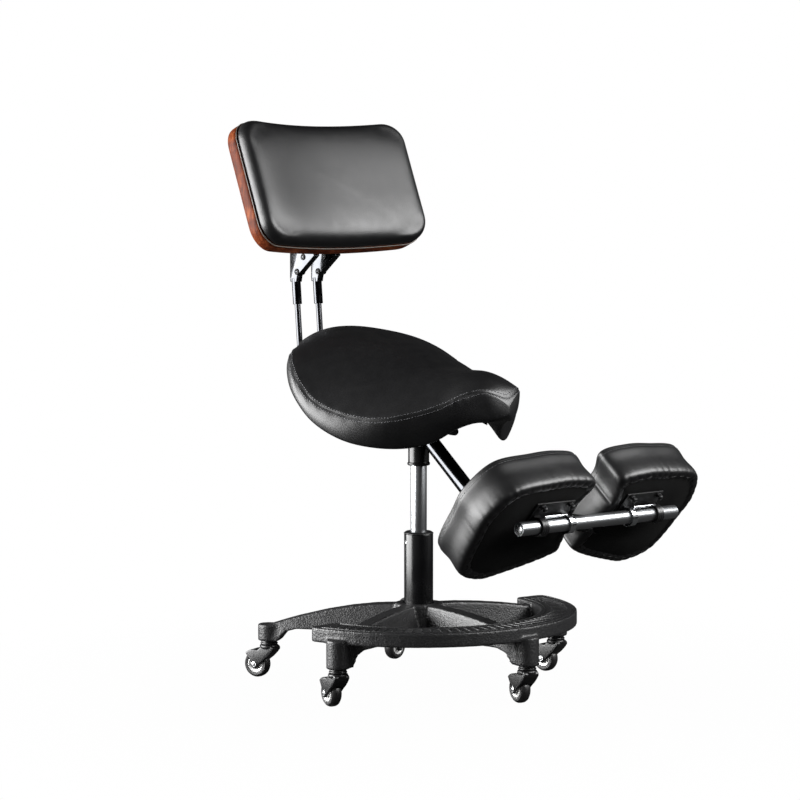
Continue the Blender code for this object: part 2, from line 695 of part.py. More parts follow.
def build_lift(base, swivel, lift):
    inside = COLUMN_RADIUS - COLUMN_WALL
    rod_hole = ROD_RADIUS + RUNNING_GAP
    column = [
        (COLUMN_RADIUS, COLUMN_TOP),
        (COLUMN_RADIUS, COLUMN_FOOT),
        (rod_hole, COLUMN_FOOT),
        (rod_hole, COLUMN_FLOOR_TOP),
        (inside, COLUMN_FLOOR_TOP),
        (inside, COLUMN_TOP),
    ]
    turned("column_tube", column, 30, base, "column_black", ring=True)
    bush_bore = CYLINDER_RADIUS + RUNNING_GAP
    flange_foot = COLUMN_TOP + TOUCH_GAP
    bush = [
        (BUSH_FLANGE_RADIUS, flange_foot + BUSH_FLANGE),
        (BUSH_FLANGE_RADIUS, flange_foot),
        (inside - TOUCH_GAP, flange_foot),
        (inside - TOUCH_GAP, COLUMN_TOP - BUSH_LENGTH),
        (bush_bore, COLUMN_TOP - BUSH_LENGTH),
        (bush_bore, flange_foot + BUSH_FLANGE),
    ]
    turned("guide_bush", bush, 24, base, "black_plastic", ring=True)
    bearing_foot = COLUMN_FLOOR_TOP + TOUCH_GAP
    bearing_top = bearing_foot + BEARING_HEIGHT
    bearing = ring_profile(BEARING_RADIUS, rod_hole, bearing_top, bearing_foot)
    turned("thrust_bearing", bearing, 20, base, "steel", ring=True)

    clip_top = COLUMN_FOOT - TOUCH_GAP
    clip = ring_profile(CLIP_RADIUS, ROD_RADIUS + TOUCH_GAP, clip_top, clip_top - CLIP_HEIGHT)
    turned("rod_clip", clip, 16, swivel, "steel", ring=True)
    collar_foot = bearing_top + TOUCH_GAP
    cylinder_bore = CYLINDER_RADIUS - CYLINDER_WALL
    piston_foot = CYLINDER_FOOT + PISTON_LIFT
    rod = [
        (0, piston_foot + PISTON_LENGTH),
        (cylinder_bore - RUNNING_GAP, piston_foot + PISTON_LENGTH),
        (cylinder_bore - RUNNING_GAP, piston_foot),
        (ROD_RADIUS, piston_foot),
        (ROD_RADIUS, collar_foot + ROD_COLLAR),
        (ROD_COLLAR_RADIUS, collar_foot + ROD_COLLAR),
        (ROD_COLLAR_RADIUS, collar_foot),
        (ROD_RADIUS, collar_foot),
        (ROD_RADIUS, clip_top - CLIP_HEIGHT),
        (0, clip_top - CLIP_HEIGHT),
    ]
    turned("piston_rod", rod, 20, swivel, "steel")

    pin_bore = VALVE_PIN_RADIUS + RUNNING_GAP
    cylinder = [
        (CYLINDER_RADIUS, CYLINDER_TOP),
        (CYLINDER_RADIUS, CYLINDER_FOOT),
        (cylinder_bore, CYLINDER_FOOT),
        (cylinder_bore, CYLINDER_TOP - CYLINDER_HEAD),
        (pin_bore, CYLINDER_TOP - CYLINDER_HEAD),
        (pin_bore, CYLINDER_TOP),
    ]
    turned("gas_cylinder", cylinder, 24, lift, "chrome", ring=True)
    gland_foot = CYLINDER_FOOT + TOUCH_GAP
    gland = ring_profile(cylinder_bore - TOUCH_GAP, rod_hole, gland_foot + GLAND_LENGTH, gland_foot)
    turned("cylinder_gland", gland, 20, lift, "black_plastic", ring=True)


def lever_points():
    """Path of the lever from its pivot: out of the housing, then swept back towards its grip."""
    level = [Vector((-LEVER_PIVOT - LEVER_TAIL, 0, 0)), Vector((LEVER_STRAIGHT - LEVER_PIVOT, 0, 0))]
    steps = 5
    for i in range(1, steps + 1):
        turn = LEVER_SWEEP * i / steps
        level.append(level[1] + Vector((math.sin(turn), 1 - math.cos(turn), 0)) * LEVER_BEND)
    swept = Vector((math.cos(LEVER_SWEEP), math.sin(LEVER_SWEEP), 0))
    level.append(level[-1] + swept * (LEVER_REACH - LEVER_STRAIGHT))
    droop = Matrix.Rotation(LEVER_DROOP, 3, "Y")
    points = [droop @ point for point in level]
    return points, (points[-1] - points[-2]).normalized()


def build_mechanism(lift):
    slope_at = lambda back: PLATE_TOP - PLATE_THICKNESS - TOUCH_GAP + SEAT_SLOPE * back
    sides = [(-HOUSING_FRONT, HOUSING_FOOT), (HOUSING_REAR, HOUSING_FOOT)]
    sides = sides + [(HOUSING_REAR, slope_at(HOUSING_REAR)), (-HOUSING_FRONT, slope_at(-HOUSING_FRONT))]
    stand = (math.pi / 2, 0, math.pi / 2)
    half = HOUSING_HALF
    housing = outline_plate("seat_housing", [sides], -half, half, lift, "black_steel", rotation=stand)
    bore = CYLINDER_RADIUS + TOUCH_GAP
    outer = bore + SOCKET_WALL
    socket = cylinder_profile(outer, HOUSING_FOOT + HOUSING_WALL / 2, SOCKET_FOOT)
    combine(housing, turned("taper_socket", socket, 24, lift, None), "UNION")
    drill = cylinder_profile(bore, HOUSING_FOOT + HOUSING_WALL * 2, SOCKET_FOOT - SOCKET_LENGTH)
    combine(housing, turned("socket_bore", drill, 24, lift, None), "DIFFERENCE")
    for name, side in (("left", 1), ("right", -1)):
        ends = sorted((side * HOUSING_NOSE_HALF, side * HOUSING_HALF * 2))
        low = (ends[0], -HOUSING_FRONT * 2, SOCKET_FOOT)
        high = (ends[1], HOUSING_WINGS, PLATE_TOP + HOUSING_HEIGHT)
        combine(housing, box("housing_relief_" + name, low, high, lift, None), "DIFFERENCE")
    inner = HOUSING_NOSE_HALF - HOUSING_WALL
    front = HOUSING_FRONT_WALL - HOUSING_FRONT
    rear = HOUSING_REAR - HOUSING_WALL
    low = (-inner, front, HOUSING_FOOT + HOUSING_WALL)
    high = (inner, rear, PLATE_TOP + HOUSING_HEIGHT)
    combine(housing, box("housing_room", low, high, lift, None), "DIFFERENCE")
    slot = LEVER_RADIUS + LEVER_SLOT
    low = (inner - HOUSING_WALL, -slot, LEVER_HEIGHT - slot)
    high = (HOUSING_NOSE_HALF + HOUSING_WALL, slot, LEVER_HEIGHT + slot)
    combine(housing, box("lever_slot", low, high, lift, None), "DIFFERENCE")
    seats = [("arm_seat", arm_points(SEAT_OVERRUN), ARM_RADIUS, 16)]
    for name, side in (("left", 1), ("right", -1)):
        seats.append(("rod_seat_" + name, rod_points(side, TOUCH_GAP), BACK_ROD_RADIUS, 12))
    for name, path, radius, count in seats:
        combine(housing, tube(name, path, radius + TOUCH_GAP, count, lift, None), "DIFFERENCE")

    plate_low = (-PLATE_HALF, PLATE_BACK - PLATE_LENGTH / 2, -PLATE_THICKNESS)
    plate_high = (PLATE_HALF, PLATE_BACK + PLATE_LENGTH / 2, 0)
    box("seat_plate", plate_low, plate_high, lift, "black_steel", (0, 0, PLATE_TOP), (SEAT_TILT, 0, 0))

    pivot = add_empty("lever_pivot", lift, (LEVER_PIVOT, 0, LEVER_HEIGHT))
    lengthwise = (math.pi / 2, 0, 0)
    pin = cylinder_profile(LEVER_PIN_RADIUS, -front - TOUCH_GAP, -LEVER_PIN_REACH)
    turned("lever_pin", pin, 10, pivot, "steel", rotation=lengthwise)
    path, direction = lever_points()
    lever = tube("release_lever", path, LEVER_RADIUS, 12, pivot, "black_steel")
    grip = [
        (0, 0),
        (LEVER_GRIP_RADIUS * 0.7, 0),
        (LEVER_GRIP_RADIUS, -LEVER_GRIP_RADIUS),
        (LEVER_GRIP_RADIUS, LEVER_GRIP_RADIUS - LEVER_GRIP),
        (LEVER_RADIUS * 0.9, -LEVER_GRIP),
        (0, -LEVER_GRIP),
    ]
    spot = path[-1] + direction * LEVER_GRIP_RADIUS
    turn = direction.to_track_quat("Z", "Y").to_euler()
    combine(lever, turned("lever_grip", grip, 14, pivot, None, spot, turn), "UNION")
    eye = cylinder_profile(LEVER_PIN_RADIUS + RUNNING_GAP, LEVER_RADIUS * 2, -LEVER_RADIUS * 2)
    combine(lever, turned("lever_eye", eye, 10, pivot, None, rotation=lengthwise), "DIFFERENCE")
    valve = cylinder_profile(VALVE_PIN_RADIUS, CYLINDER_TOP + VALVE_PIN_RISE, CYLINDER_TOP - VALVE_PIN_DEPTH)
    turned("valve_pin", valve, 12, lift, "steel")


def seat_section(forward):
    """Half widths at the seam and at the lower edge, and heights from the crest to the underside."""
    half, crest, drop, band, tuck = along(SADDLE, forward)
    half = max(half, 0)
    crest = PAN_FOOT + crest
    seam = crest - drop
    edge = seam - band
    middle = PAN_FOOT - SEAT_SLOPE * forward + PAN_DEPTH + TOUCH_GAP
    full = min(1, half / (2 * PLATE_HALF))
    return half, half - min(tuck, half / 2), crest, seam, edge, edge + (middle - edge) * full


def seat_forward(ring):
    """How far forward a ring of the cushion is; rings lie closer towards the tail and the nose."""
    first, last = SADDLE[0][0], SADDLE[-1][0]
    return (first + last) / 2 - (last - first) / 2 * math.cos(math.pi * ring / SEAT_RINGS)


def seat_underside(forward, share):
    """A point of the cushion's underside at a share of its half width."""
    _, lower_half, _, _, edge, middle = seat_section(forward)
    return share * lower_half, -forward, edge + (middle - edge) * (1 - share * share)


def build_seat(lift):
    top_shares = [i / 5 for i in range(-5, 6)]
    lower_shares = [1, *UNDER_SHARES, -1]
    around = len(top_shares) + len(lower_shares) + 2

    def cushion_point(ring, spoke):
        forward = seat_forward(ring)
        half, lower_half, crest, seam, edge, _ = seat_section(forward)
        if ring in (0, SEAT_RINGS):
            return 0, -forward, (seam + edge) / 2
        if spoke < len(top_shares):
            share = top_shares[spoke]
            return half * share, -forward, crest - (crest - seam) * abs(share) ** SEAT_ARCH
        lower = spoke - len(top_shares) - 1
        if 0 <= lower < len(lower_shares):
            return seat_underside(forward, lower_shares[lower])
        side = 1 if lower < 0 else -1
        bulge = min(BAND_BULGE, half / 4)
        return side * ((half + lower_half) / 2 + bulge), -forward, (seam + edge) / 2

    moulded("seat_cushion", around, SEAT_RINGS, cushion_point, lift, "leather")

    def pan_point(column, row, top):
        forward = seat_forward(PAN_FIRST_RING + row)
        across, back, height = seat_underside(forward, UNDER_SHARES[column])
        if top:
            return across, back, height - TOUCH_GAP
        if column in (0, len(UNDER_SHARES) - 1):
            return across, back, height - TOUCH_GAP - PAN_EDGE
        return PLATE_HALF * (2 - column), back, PAN_FOOT - SEAT_SLOPE * forward

    rows = PAN_LAST_RING - PAN_FIRST_RING + 1
    slab("seat_pan", len(UNDER_SHARES), rows, pan_point, lift, "board")


def arm_steps(run_to):
    """Bends and runs of the knee arm, from the housing down and forward to a given reach."""
    dive = ARM_SLOPE - ARM_START_SLOPE
    upper_fall = ARM_UPPER_BEND * (math.cos(ARM_START_SLOPE) - math.cos(ARM_SLOPE))
    lower_fall = ARM_LOWER_BEND * (1 - math.cos(ARM_SLOPE))
    slant = (ARM_DROP - upper_fall - lower_fall) / math.sin(ARM_SLOPE)
    upper_run = ARM_UPPER_BEND * (math.sin(ARM_SLOPE) - math.sin(ARM_START_SLOPE))
    covered = ARM_START_BACK + upper_run + slant * math.cos(ARM_SLOPE) + ARM_LOWER_BEND * math.sin(ARM_SLOPE)
    return [
        ("bend", ARM_UPPER_BEND, dive),
        ("run", slant),
        ("bend", ARM_LOWER_BEND, -ARM_SLOPE),
        ("run", run_to - covered),
    ]


def arm_points(overrun=0.0):
    """Path of the knee arm; an overrun starts it a little further back inside the housing."""
    heading = math.pi + ARM_START_SLOPE
    start = Vector((-ARM_START_BACK, ARM_START_HEIGHT))
    back = Vector((math.cos(heading), math.sin(heading))) * -overrun
    return bent_path(start + back, heading, [("run", overrun)] * (overrun > 0) + arm_steps(BAR_REACH))


def build_knee_rest(lift):
    arm = tube("knee_arm", arm_points(), ARM_RADIUS, 16, lift, "chrome")
    bar_axis = add_empty("bar_axis", lift, (0, -BAR_REACH, BAR_HEIGHT))
    along_x = (0, math.pi / 2, 0)
    half = BAR_LENGTH / 2
    bar = ring_profile(BAR_RADIUS, BAR_RADIUS - BAR_WALL, half, -half)
    turned("crossbar", bar, 20, bar_axis, "chrome", rotation=along_x, ring=True)
    cope = cylinder_profile(CLAMP_BORE, half, -half)
    combine(arm, turned("arm_cope", cope, 20, bar_axis, None, rotation=along_x), "DIFFERENCE")
    for name, side in (("left", 1), ("right", -1)):
        pad = add_empty("knee_pad_" + name, bar_axis, rotation=(PAD_TILT - math.pi / 2, 0, 0))
        build_knee_pad(name, side, pad)


def build_knee_pad(name, side, pad):
    """A pad in its own frame: X along the bar, -Y up the pad, Z out of the cushion."""
    outline = [Vector((side * x, -y)) for x, y in closed_spline(PAD_OUTLINE, 3)]
    middle = sum(outline, Vector((0, 0))) / len(outline)
    shrink = lambda share: [tuple(middle + (point - middle) * share) for point in outline]
    board_top = PAD_STANDOFF + PAD_BOARD
    outlines = [shrink(PAD_BOARD_SHARE)]
    outline_plate("pad_board_" + name, outlines, PAD_STANDOFF, board_top, pad, "board")

    foot = board_top + TOUCH_GAP
    layers = (
        (0.0, 0.0),
        (0.50, 0.0),
        (0.96, 0.0),
        (1.0, 0.10),
        (0.99, 0.42),
        (1.015, 0.74),
        (0.985, 0.91),
        (0.84, 0.975),
        (0.44, 0.997),
        (0.0, 1.0),
    )

    def cushion_point(ring, spoke):
        share, level = layers[ring]
        x, y = middle + (outline[spoke] - middle) * share
        return x, y, foot + PAD_CUSHION * level

    moulded("pad_cushion_" + name, len(outline), len(layers) - 1, cushion_point, pad, "leather")

    plate_top = PAD_STANDOFF - TOUCH_GAP
    plate_foot = plate_top - PAD_BRACKET_PLATE
    ends = sorted((side * PAD_BRACKET_INNER, side * PAD_BRACKET_OUTER))
    low = (ends[0], -PAD_BRACKET_HALF, plate_foot)
    high = (ends[1], PAD_BRACKET_HALF, plate_top)
    box("pad_bracket_" + name, low, high, pad, "black_steel")
    outer = CLAMP_BORE + STRAP_THICKNESS
    half = STRAP_WIDTH / 2
    strap = ring_profile(outer, CLAMP_BORE, half, -half)
    build_clamp("pad_strap_" + name, strap, STRAP_WIDTH, side * STRAP_AT, plate_foot, pad, "chrome")
    half = COLLAR_WIDTH / 2
    ridges = [(outer - COLLAR_RIDGE * (i % 2), half - COLLAR_WIDTH * i / 6) for i in range(7)]
    collar = ridges + [(CLAMP_BORE, -half), (CLAMP_BORE, half)]
    across = side * COLLAR_AT
    build_clamp("pad_collar_" + name, collar, COLLAR_WIDTH, across, plate_foot, pad, "black_plastic")


def build_clamp(name, profile, width, across, plate_foot, pad, finish):
    """A ring on the bar with a neck that stands on the bracket plate."""
    clamp = turned(name, profile, 20, pad, finish, (across, 0, 0), (0, math.pi / 2, 0), ring=True)
    inset = width / 2 - TOUCH_GAP
    low = (across - inset, -CLAMP_NECK_HALF, CLAMP_BORE + TOUCH_GAP)
    high = (across + inset, CLAMP_NECK_HALF, plate_foot - TOUCH_GAP)
    combine(clamp, box(name + "_neck", low, high, pad, None), "UNION")


def back_frame():
    """Directions of the backrest: up its face, and out of its front, in the plane of (Y, Z)."""
    up = Vector((math.sin(BACK_RECLINE), math.cos(BACK_RECLINE)))
    out = Vector((-math.cos(BACK_RECLINE), math.sin(BACK_RECLINE)))
    return up, out


def rod_points(side, overrun=0.0):
    """Path of a backrest rod, from inside the housing's rear wall, out behind the seat and up."""
    back = BACK_ROD_DEPTH + overrun
    first = BACK_ROD_CLIMB
    last = math.pi / 2 - BACK_ROD_LEAN
    start = (HOUSING_REAR - back * math.cos(first), BACK_ROD_START - back * math.sin(first))
    reach = BACK_ROD_BEHIND - start[0] - BACK_ROD_BEND * (math.sin(last) - math.sin(first))
    rise = HOUSING_FOOT + BACK_ROD_TOP - start[1] - BACK_ROD_BEND * (math.cos(first) - math.cos(last))
    slant = (reach * math.sin(last) - rise * math.cos(last)) / math.sin(last - first)
    upright = (rise * math.cos(first) - reach * math.sin(first)) / math.sin(last - first)
    steps = [("run", slant), ("bend", BACK_ROD_BEND, last - first), ("run", upright)]
    return bent_path(start, first, steps, side * BACK_ROD_HALF)


def build_backrest(lift):
    up, out = back_frame()
    center = Vector((BACK_BEHIND, BACK_HEIGHT_MIDDLE))
    upright = BACK_ROD_BEHIND
    rod_top = HOUSING_FOOT + BACK_ROD_TOP
    socket_bore = BACK_ROD_RADIUS + TOUCH_GAP
    socket_outer = socket_bore + BRACKET_WALL
    plate_foot = rod_top - BRACKET_SOCKET_OVERLAP
    rear = upright + BRACKET_REAR
    shoulder = rod_top + BRACKET_RISE

    inner_edge = BACK_ROD_HALF - BRACKET_WIDTH / 2
    shell_back = center - out * (TOUCH_GAP - inner_edge**2 / (2 * BACK_CURVE))
    at_height = lambda height: shell_back + up * ((height - shell_back.y) / up.y)
    low_edge = shell_back - up * (BACK_HEIGHT / 2)
    grip_top = at_height(low_edge.y + BRACKET_GRIP)
    outline = [
        (upright + socket_outer, plate_foot),
        (rear, rod_top + BRACKET_WALL),
        (rear, shoulder),
        (grip_top.x + BRACKET_REAR, grip_top.y),
        tuple(grip_top),
        tuple(low_edge),
        (upright - socket_outer - BRACKET_WALL, rod_top + BRACKET_WALL * 3),
        (upright - socket_outer, plate_foot),
    ]
    stand = (math.pi / 2, 0, math.pi / 2)
    for name, side in (("left", 1), ("right", -1)):
        across = side * BACK_ROD_HALF
        tube("back_rod_" + name, rod_points(side), BACK_ROD_RADIUS, 12, lift, "chrome")
        half = BRACKET_WIDTH / 2
        spot = (across, 0, 0)
        bracket = outline_plate("back_bracket_" + name, [outline], -half, half, lift, "chrome", spot, stand)
        barrel = cylinder_profile(socket_outer, BRACKET_WALL, -BRACKET_SOCKET)
        spot = (across, upright, rod_top)
        lean = (-BACK_ROD_LEAN, 0, 0)
        combine(bracket, turned("rod_socket_" + name, barrel, 18, lift, None, spot, lean), "UNION")
        drill = cylinder_profile(socket_bore, TOUCH_GAP, -BRACKET_SOCKET - BRACKET_WALL)
        combine(bracket, turned("rod_bore_" + name, drill, 18, lift, None, spot, lean), "DIFFERENCE")

    board = add_empty("backrest", lift, (0, center.x, center.y), (math.pi / 2 - BACK_RECLINE, 0, 0))
    build_back_layers("back_shell", 0.0, BACK_SHELL, SHELL_LAYERS, board, "rosewood")
    foot = BACK_SHELL + TOUCH_GAP
    build_back_layers("back_cushion", foot, BACK_CUSHION, CUSHION_LAYERS, board, "leather")


# Each layer is a share of the outline and a share of the thickness, from back to front
SHELL_LAYERS = (
    (0, 0),
    (0.4, 0),
    (0.75, 0),
    (0.985, 0),
    (1, 0.18),
    (1, 0.82),
    (0.985, 1),
    (0.75, 1),
    (0.4, 1),
    (0, 1),
)
CUSHION_LAYERS = (
    (0, 0),
    (0.4, 0),
    (0.75, 0),
    (0.985, 0),
    (0.99, 0.16),
    (0.98, 0.42),
    (0.955, 0.68),
    (0.88, 0.86),
    (0.68, 0.97),
    (0.36, 1),
    (0, 1),
)


def build_back_layers(name, foot, thickness, layers, parent, finish):
    """A rounded rectangle built up in layers and curved to hold the sitter's back."""
    half_x = BACK_WIDTH / 2 - BACK_CORNER
    half_y = BACK_HEIGHT / 2 - BACK_CORNER
    outline = []
    for corner, (sx, sy) in enumerate(((1, 1), (-1, 1), (-1, -1), (1, -1))):
        start = corner * math.pi / 2
        outline += arc((sx * half_x, sy * half_y), BACK_CORNER, start, start + math.pi / 2, 4)
        if sy * sx > 0:
            outline += [(sx * half_x * k, sy * (half_y + BACK_CORNER)) for k in (0.5, 0, -0.5)]
        else:
            outline.append((sx * (half_x + BACK_CORNER), 0))

    def point(ring, spoke):
        share, level = layers[ring]
        x, y = outline[spoke][0] * share, outline[spoke][1] * share
        return x, y, foot + thickness * level + x * x / (2 * BACK_CURVE)

    moulded(name, len(outline), len(layers) - 1, point, parent, finish)


def main():
    root = add_empty("saddle_stool_root", None, (0, COLUMN_BACK, 0))
    swivel = add_empty("swivel_axis", root)
    lift = add_empty("lift_axis", swivel)
    build_base(root)
    for name, (leg_angle, trail_angle) in CASTERS.items():
        build_caster(name, leg_angle, trail_angle, root)
    build_lift(root, swivel, lift)
    build_mechanism(lift)
    build_seat(lift)
    build_knee_rest(lift)
    build_backrest(lift)


main()
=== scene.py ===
import json
import math
import random

import bpy
import numpy as np
from mathutils import Matrix, Vector
from mathutils.bvhtree import BVHTree
from mathutils.kdtree import KDTree

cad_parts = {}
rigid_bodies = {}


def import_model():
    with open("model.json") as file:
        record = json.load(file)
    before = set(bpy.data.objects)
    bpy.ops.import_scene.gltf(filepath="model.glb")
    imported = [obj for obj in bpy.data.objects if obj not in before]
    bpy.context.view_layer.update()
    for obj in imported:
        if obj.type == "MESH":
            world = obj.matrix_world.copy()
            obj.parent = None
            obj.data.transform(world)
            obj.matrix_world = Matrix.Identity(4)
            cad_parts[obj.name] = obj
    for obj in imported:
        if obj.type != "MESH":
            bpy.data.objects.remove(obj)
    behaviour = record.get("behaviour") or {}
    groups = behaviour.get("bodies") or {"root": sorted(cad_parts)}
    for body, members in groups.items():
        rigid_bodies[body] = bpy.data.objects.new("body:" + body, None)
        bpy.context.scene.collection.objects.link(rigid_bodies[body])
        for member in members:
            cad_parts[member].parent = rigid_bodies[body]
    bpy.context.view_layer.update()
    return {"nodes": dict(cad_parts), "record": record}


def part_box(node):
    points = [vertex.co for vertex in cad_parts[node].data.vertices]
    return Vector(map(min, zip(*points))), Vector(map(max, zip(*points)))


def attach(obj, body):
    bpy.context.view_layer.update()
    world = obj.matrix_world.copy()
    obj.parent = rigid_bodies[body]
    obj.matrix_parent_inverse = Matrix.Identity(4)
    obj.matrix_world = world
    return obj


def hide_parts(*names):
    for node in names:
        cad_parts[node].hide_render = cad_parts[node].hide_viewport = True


for leftover in list(bpy.data.objects):  # whatever the start-up file holds
    bpy.data.objects.remove(leftover)
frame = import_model()
cadNodes = frame["nodes"]
columnLow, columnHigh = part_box("column_tube")
columnSpot = (columnLow + columnHigh) / 2
columnAxis = Matrix.Translation((columnSpot.x, columnSpot.y, 0))
casterNames = ("front", "left", "rear_left", "rear_right", "right")
sides = (("left", 1), ("right", -1))

# Camera where the photographer stood, measured from the column's axis
cameraView = {"place": (-3.029, -3.328, 0.825), "toward": (0.6678, 0.7443), "down": 4.26, "lens": 118.7,
              "sensor": 36}

sight = Vector((*cameraView["toward"], -math.tan(math.radians(cameraView["down"]))))
bpy.ops.object.camera_add(location=columnAxis @ Vector(cameraView["place"]),
                          rotation=sight.to_track_quat("-Z", "Y").to_euler())
photoCamera = bpy.context.object
photoCamera.data.lens = cameraView["lens"]
photoCamera.data.sensor_width = cameraView["sensor"]
bpy.context.scene.camera = photoCamera
bpy.context.scene.view_settings.view_transform = "Standard"
print("camera set")


# Shader nodes
def toLinear(code):  # sRGB hex to linear colour
    parts = [int(code[i:i + 2], 16) / 255 for i in (1, 3, 5)]
    return [c / 12.92 if c <= 0.04045 else ((c + 0.055) / 1.055) ** 2.4 for c in parts] + [1.0]


def addNode(tree, kind, feeds=(), **settings):  # feeds give an input a value or an output to follow
    made = tree.nodes.new("ShaderNode" + kind)
    for name, value in settings.items():
        setattr(made, name, value)
    for key, value in dict(feeds).items():
        if isinstance(value, bpy.types.NodeSocket):
            tree.links.new(value, made.inputs[key])
        else:
            made.inputs[key].default_value = value
    return made


def noiseOf(tree, spot, scale, detail, **more):
    return addNode(tree, "TexNoise", {"Vector": spot, "Scale": scale, "Detail": detail, **more}).outputs[0]


def tonesOf(tree, share, first, second):
    colors = {0: share, 6: toLinear(first), 7: toLinear(second)}
    return addNode(tree, "Mix", colors, data_type="RGBA").outputs[2]


def rangeOf(tree, value, low, high, start=0.0, end=1.0, **settings):
    limits = {"Value": value, "From Min": start, "From Max": end, "To Min": low, "To Max": high}
    return addNode(tree, "MapRange", limits, **settings).outputs[0]


def bumpOf(tree, height, strength, distance, **more):
    feeds = {"Height": height, "Strength": strength, "Distance": distance, **more}
    return addNode(tree, "Bump", feeds).outputs[0]


def newFinish(name):
    made = bpy.data.materials.new(name)
    made.use_nodes = True
    made.node_tree.nodes.clear()
    tree = made.node_tree
    return made, tree, addNode(tree, "TexCoord").outputs["Object"]


def closeFinish(tree, feeds):
    shader = addNode(tree, "BsdfPrincipled", feeds)
    addNode(tree, "OutputMaterial", {"Surface": shader.outputs[0]})


# Studio: a floor shown white, soft boxes on the left and in front, a weak ceiling light and two pale walls
studio = {
    "floorSize": 40, "floorColor": "#6e6e6e", "floorMirrored": "#2c2c2c",
    "whiten": 0.984, "fadeFrom": 0.3, "fadeTo": 1.0, "ambient": 0.05,
    "walls": (
        # the side it stands on, level away from it and on it, where it begins and is full
        ((-0.90, 0.43, 0.0), 0.006, 0.30, -0.35, 0.85),
        ((0.76, -0.65, 0.0), 0.0, 0.40, 0.82, 0.97),
    ),
    "lamps": (
        # name, place, aim, width, height, watts
        ("leftBox", (-1.86, 1.46, 0.65), (0, 0.05, 0.42), 2.40, 1.60, 265),
        ("frontBox", (0.88, -1.55, 1.52), (0, 0.30, 0.85), 2.00, 1.20, 138),
        ("ceilingBox", (0.2, -0.2, 3.0), (0, 0, 0.4), 1.8, 1.8, 1),
    ),
}


def buildStudio():
    freshStart()
    bpy.ops.mesh.primitive_plane_add(size=studio["floorSize"])
    floor = bpy.context.object
    floor.name = "studioFloor"
    made, tree, spot = newFinish("paleFloorPaint")
    away = addNode(tree, "VectorMath", {0: spot}, operation="LENGTH").outputs["Value"]
    fade = rangeOf(tree, away, studio["whiten"], 1.0, studio["fadeFrom"], studio["fadeTo"])
    rays = addNode(tree, "LightPath").outputs
    seen = addNode(tree, "Math", {0: rays["Is Camera Ray"], 1: fade}, operation="MULTIPLY").outputs[0]
    tint = tonesOf(tree, rays["Is Glossy Ray"], studio["floorColor"], studio["floorMirrored"])
    paint = addNode(tree, "BsdfDiffuse", {"Color": tint})
    white = addNode(tree, "Emission", {"Color": (1, 1, 1, 1), "Strength": 1.0})
    mixed = addNode(tree, "MixShader", {0: seen, 1: paint.outputs[0], 2: white.outputs[0]})
    addNode(tree, "OutputMaterial", {"Surface": mixed.outputs[0]})
    floor.data.materials.append(made)

    # the air is white to the camera, shows the walls in mirrors and gives all else a little light
    world = bpy.data.worlds.new("studioAir")
    bpy.context.scene.world = world
    world.use_nodes = True
    tree = world.node_tree
    tree.nodes.clear()
    rays = addNode(tree, "LightPath").outputs
    mirror = addNode(tree, "Math", {0: rays["Is Glossy Ray"], 1: rays["Is Transmission Ray"]},
                     operation="MAXIMUM").outputs[0]
    ahead = addNode(tree, "TexCoord").outputs["Generated"]
    levels = []
    for side, low, high, start, end in studio["walls"]:
        facing = addNode(tree, "VectorMath", {0: ahead, 1: side}, operation="DOT_PRODUCT").outputs["Value"]
        levels.append(rangeOf(tree, facing, low, high, start, end, interpolation_type="SMOOTHSTEP"))
    walls = addNode(tree, "Math", dict(enumerate(levels))).outputs[0]
    shown = addNode(tree, "Mix", {0: mirror, 2: studio["ambient"], 3: walls}).outputs[0]
    level = addNode(tree, "Mix", {0: rays["Is Camera Ray"], 2: shown, 3: 1.0}).outputs[0]
    air = addNode(tree, "Background", {"Color": (1, 1, 1, 1), "Strength": level})
    addNode(tree, "OutputWorld", {"Surface": air.outputs[0]})
    for name, place, aim, width, height, watts in studio["lamps"]:
        turn = (Vector(aim) - Vector(place)).to_track_quat("-Z", "Y").to_euler()
        bpy.ops.object.light_add(type="AREA", location=place, rotation=turn)
        lamp = bpy.context.object
        lamp.name = name
        lamp.data.shape = "RECTANGLE"
        lamp.data.size, lamp.data.size_y = width, height
        lamp.data.energy = watts
    print("studio lit")


# Hands on meshes
weld = 0.00001
shadeAngle = math.radians(38)


def freshStart():
    if bpy.context.mode != "OBJECT":
        bpy.ops.object.mode_set(mode="OBJECT")
    bpy.ops.object.select_all(action="DESELECT")


def takeUp(piece):
    freshStart()
    piece.select_set(True)
    bpy.context.view_layer.objects.active = piece


def editAll(piece):
    takeUp(piece)
    bpy.ops.object.mode_set(mode="EDIT")
    bpy.ops.mesh.select_all(action="SELECT")


def shadeSmooth(piece):
    takeUp(piece)
    bpy.ops.object.shade_smooth()
    return piece


def addModifier(piece, kind, **settings):  # adds it, sets it and applies it
    takeUp(piece)
    made = piece.modifiers.new(kind.title(), kind)
    for name, value in settings.items():
        setattr(made, name, value)
    bpy.ops.object.modifier_apply(modifier=made.name)


def easeEdges(piece, width, steps=2, angle=30):  # rounds hard edges, then shades by angle
    if width:
        addModifier(piece, "BEVEL", width=width, segments=steps, limit_method="ANGLE",
                    angle_limit=math.radians(angle), use_clamp_overlap=True)
    takeUp(piece)
    bpy.ops.object.shade_smooth_by_angle(angle=shadeAngle)
    return piece


def faceOutwards(piece):
    editAll(piece)
    bpy.ops.mesh.remove_doubles(threshold=weld)
    bpy.ops.mesh.normals_make_consistent(inside=False)
    bpy.ops.object.mode_set(mode="OBJECT")


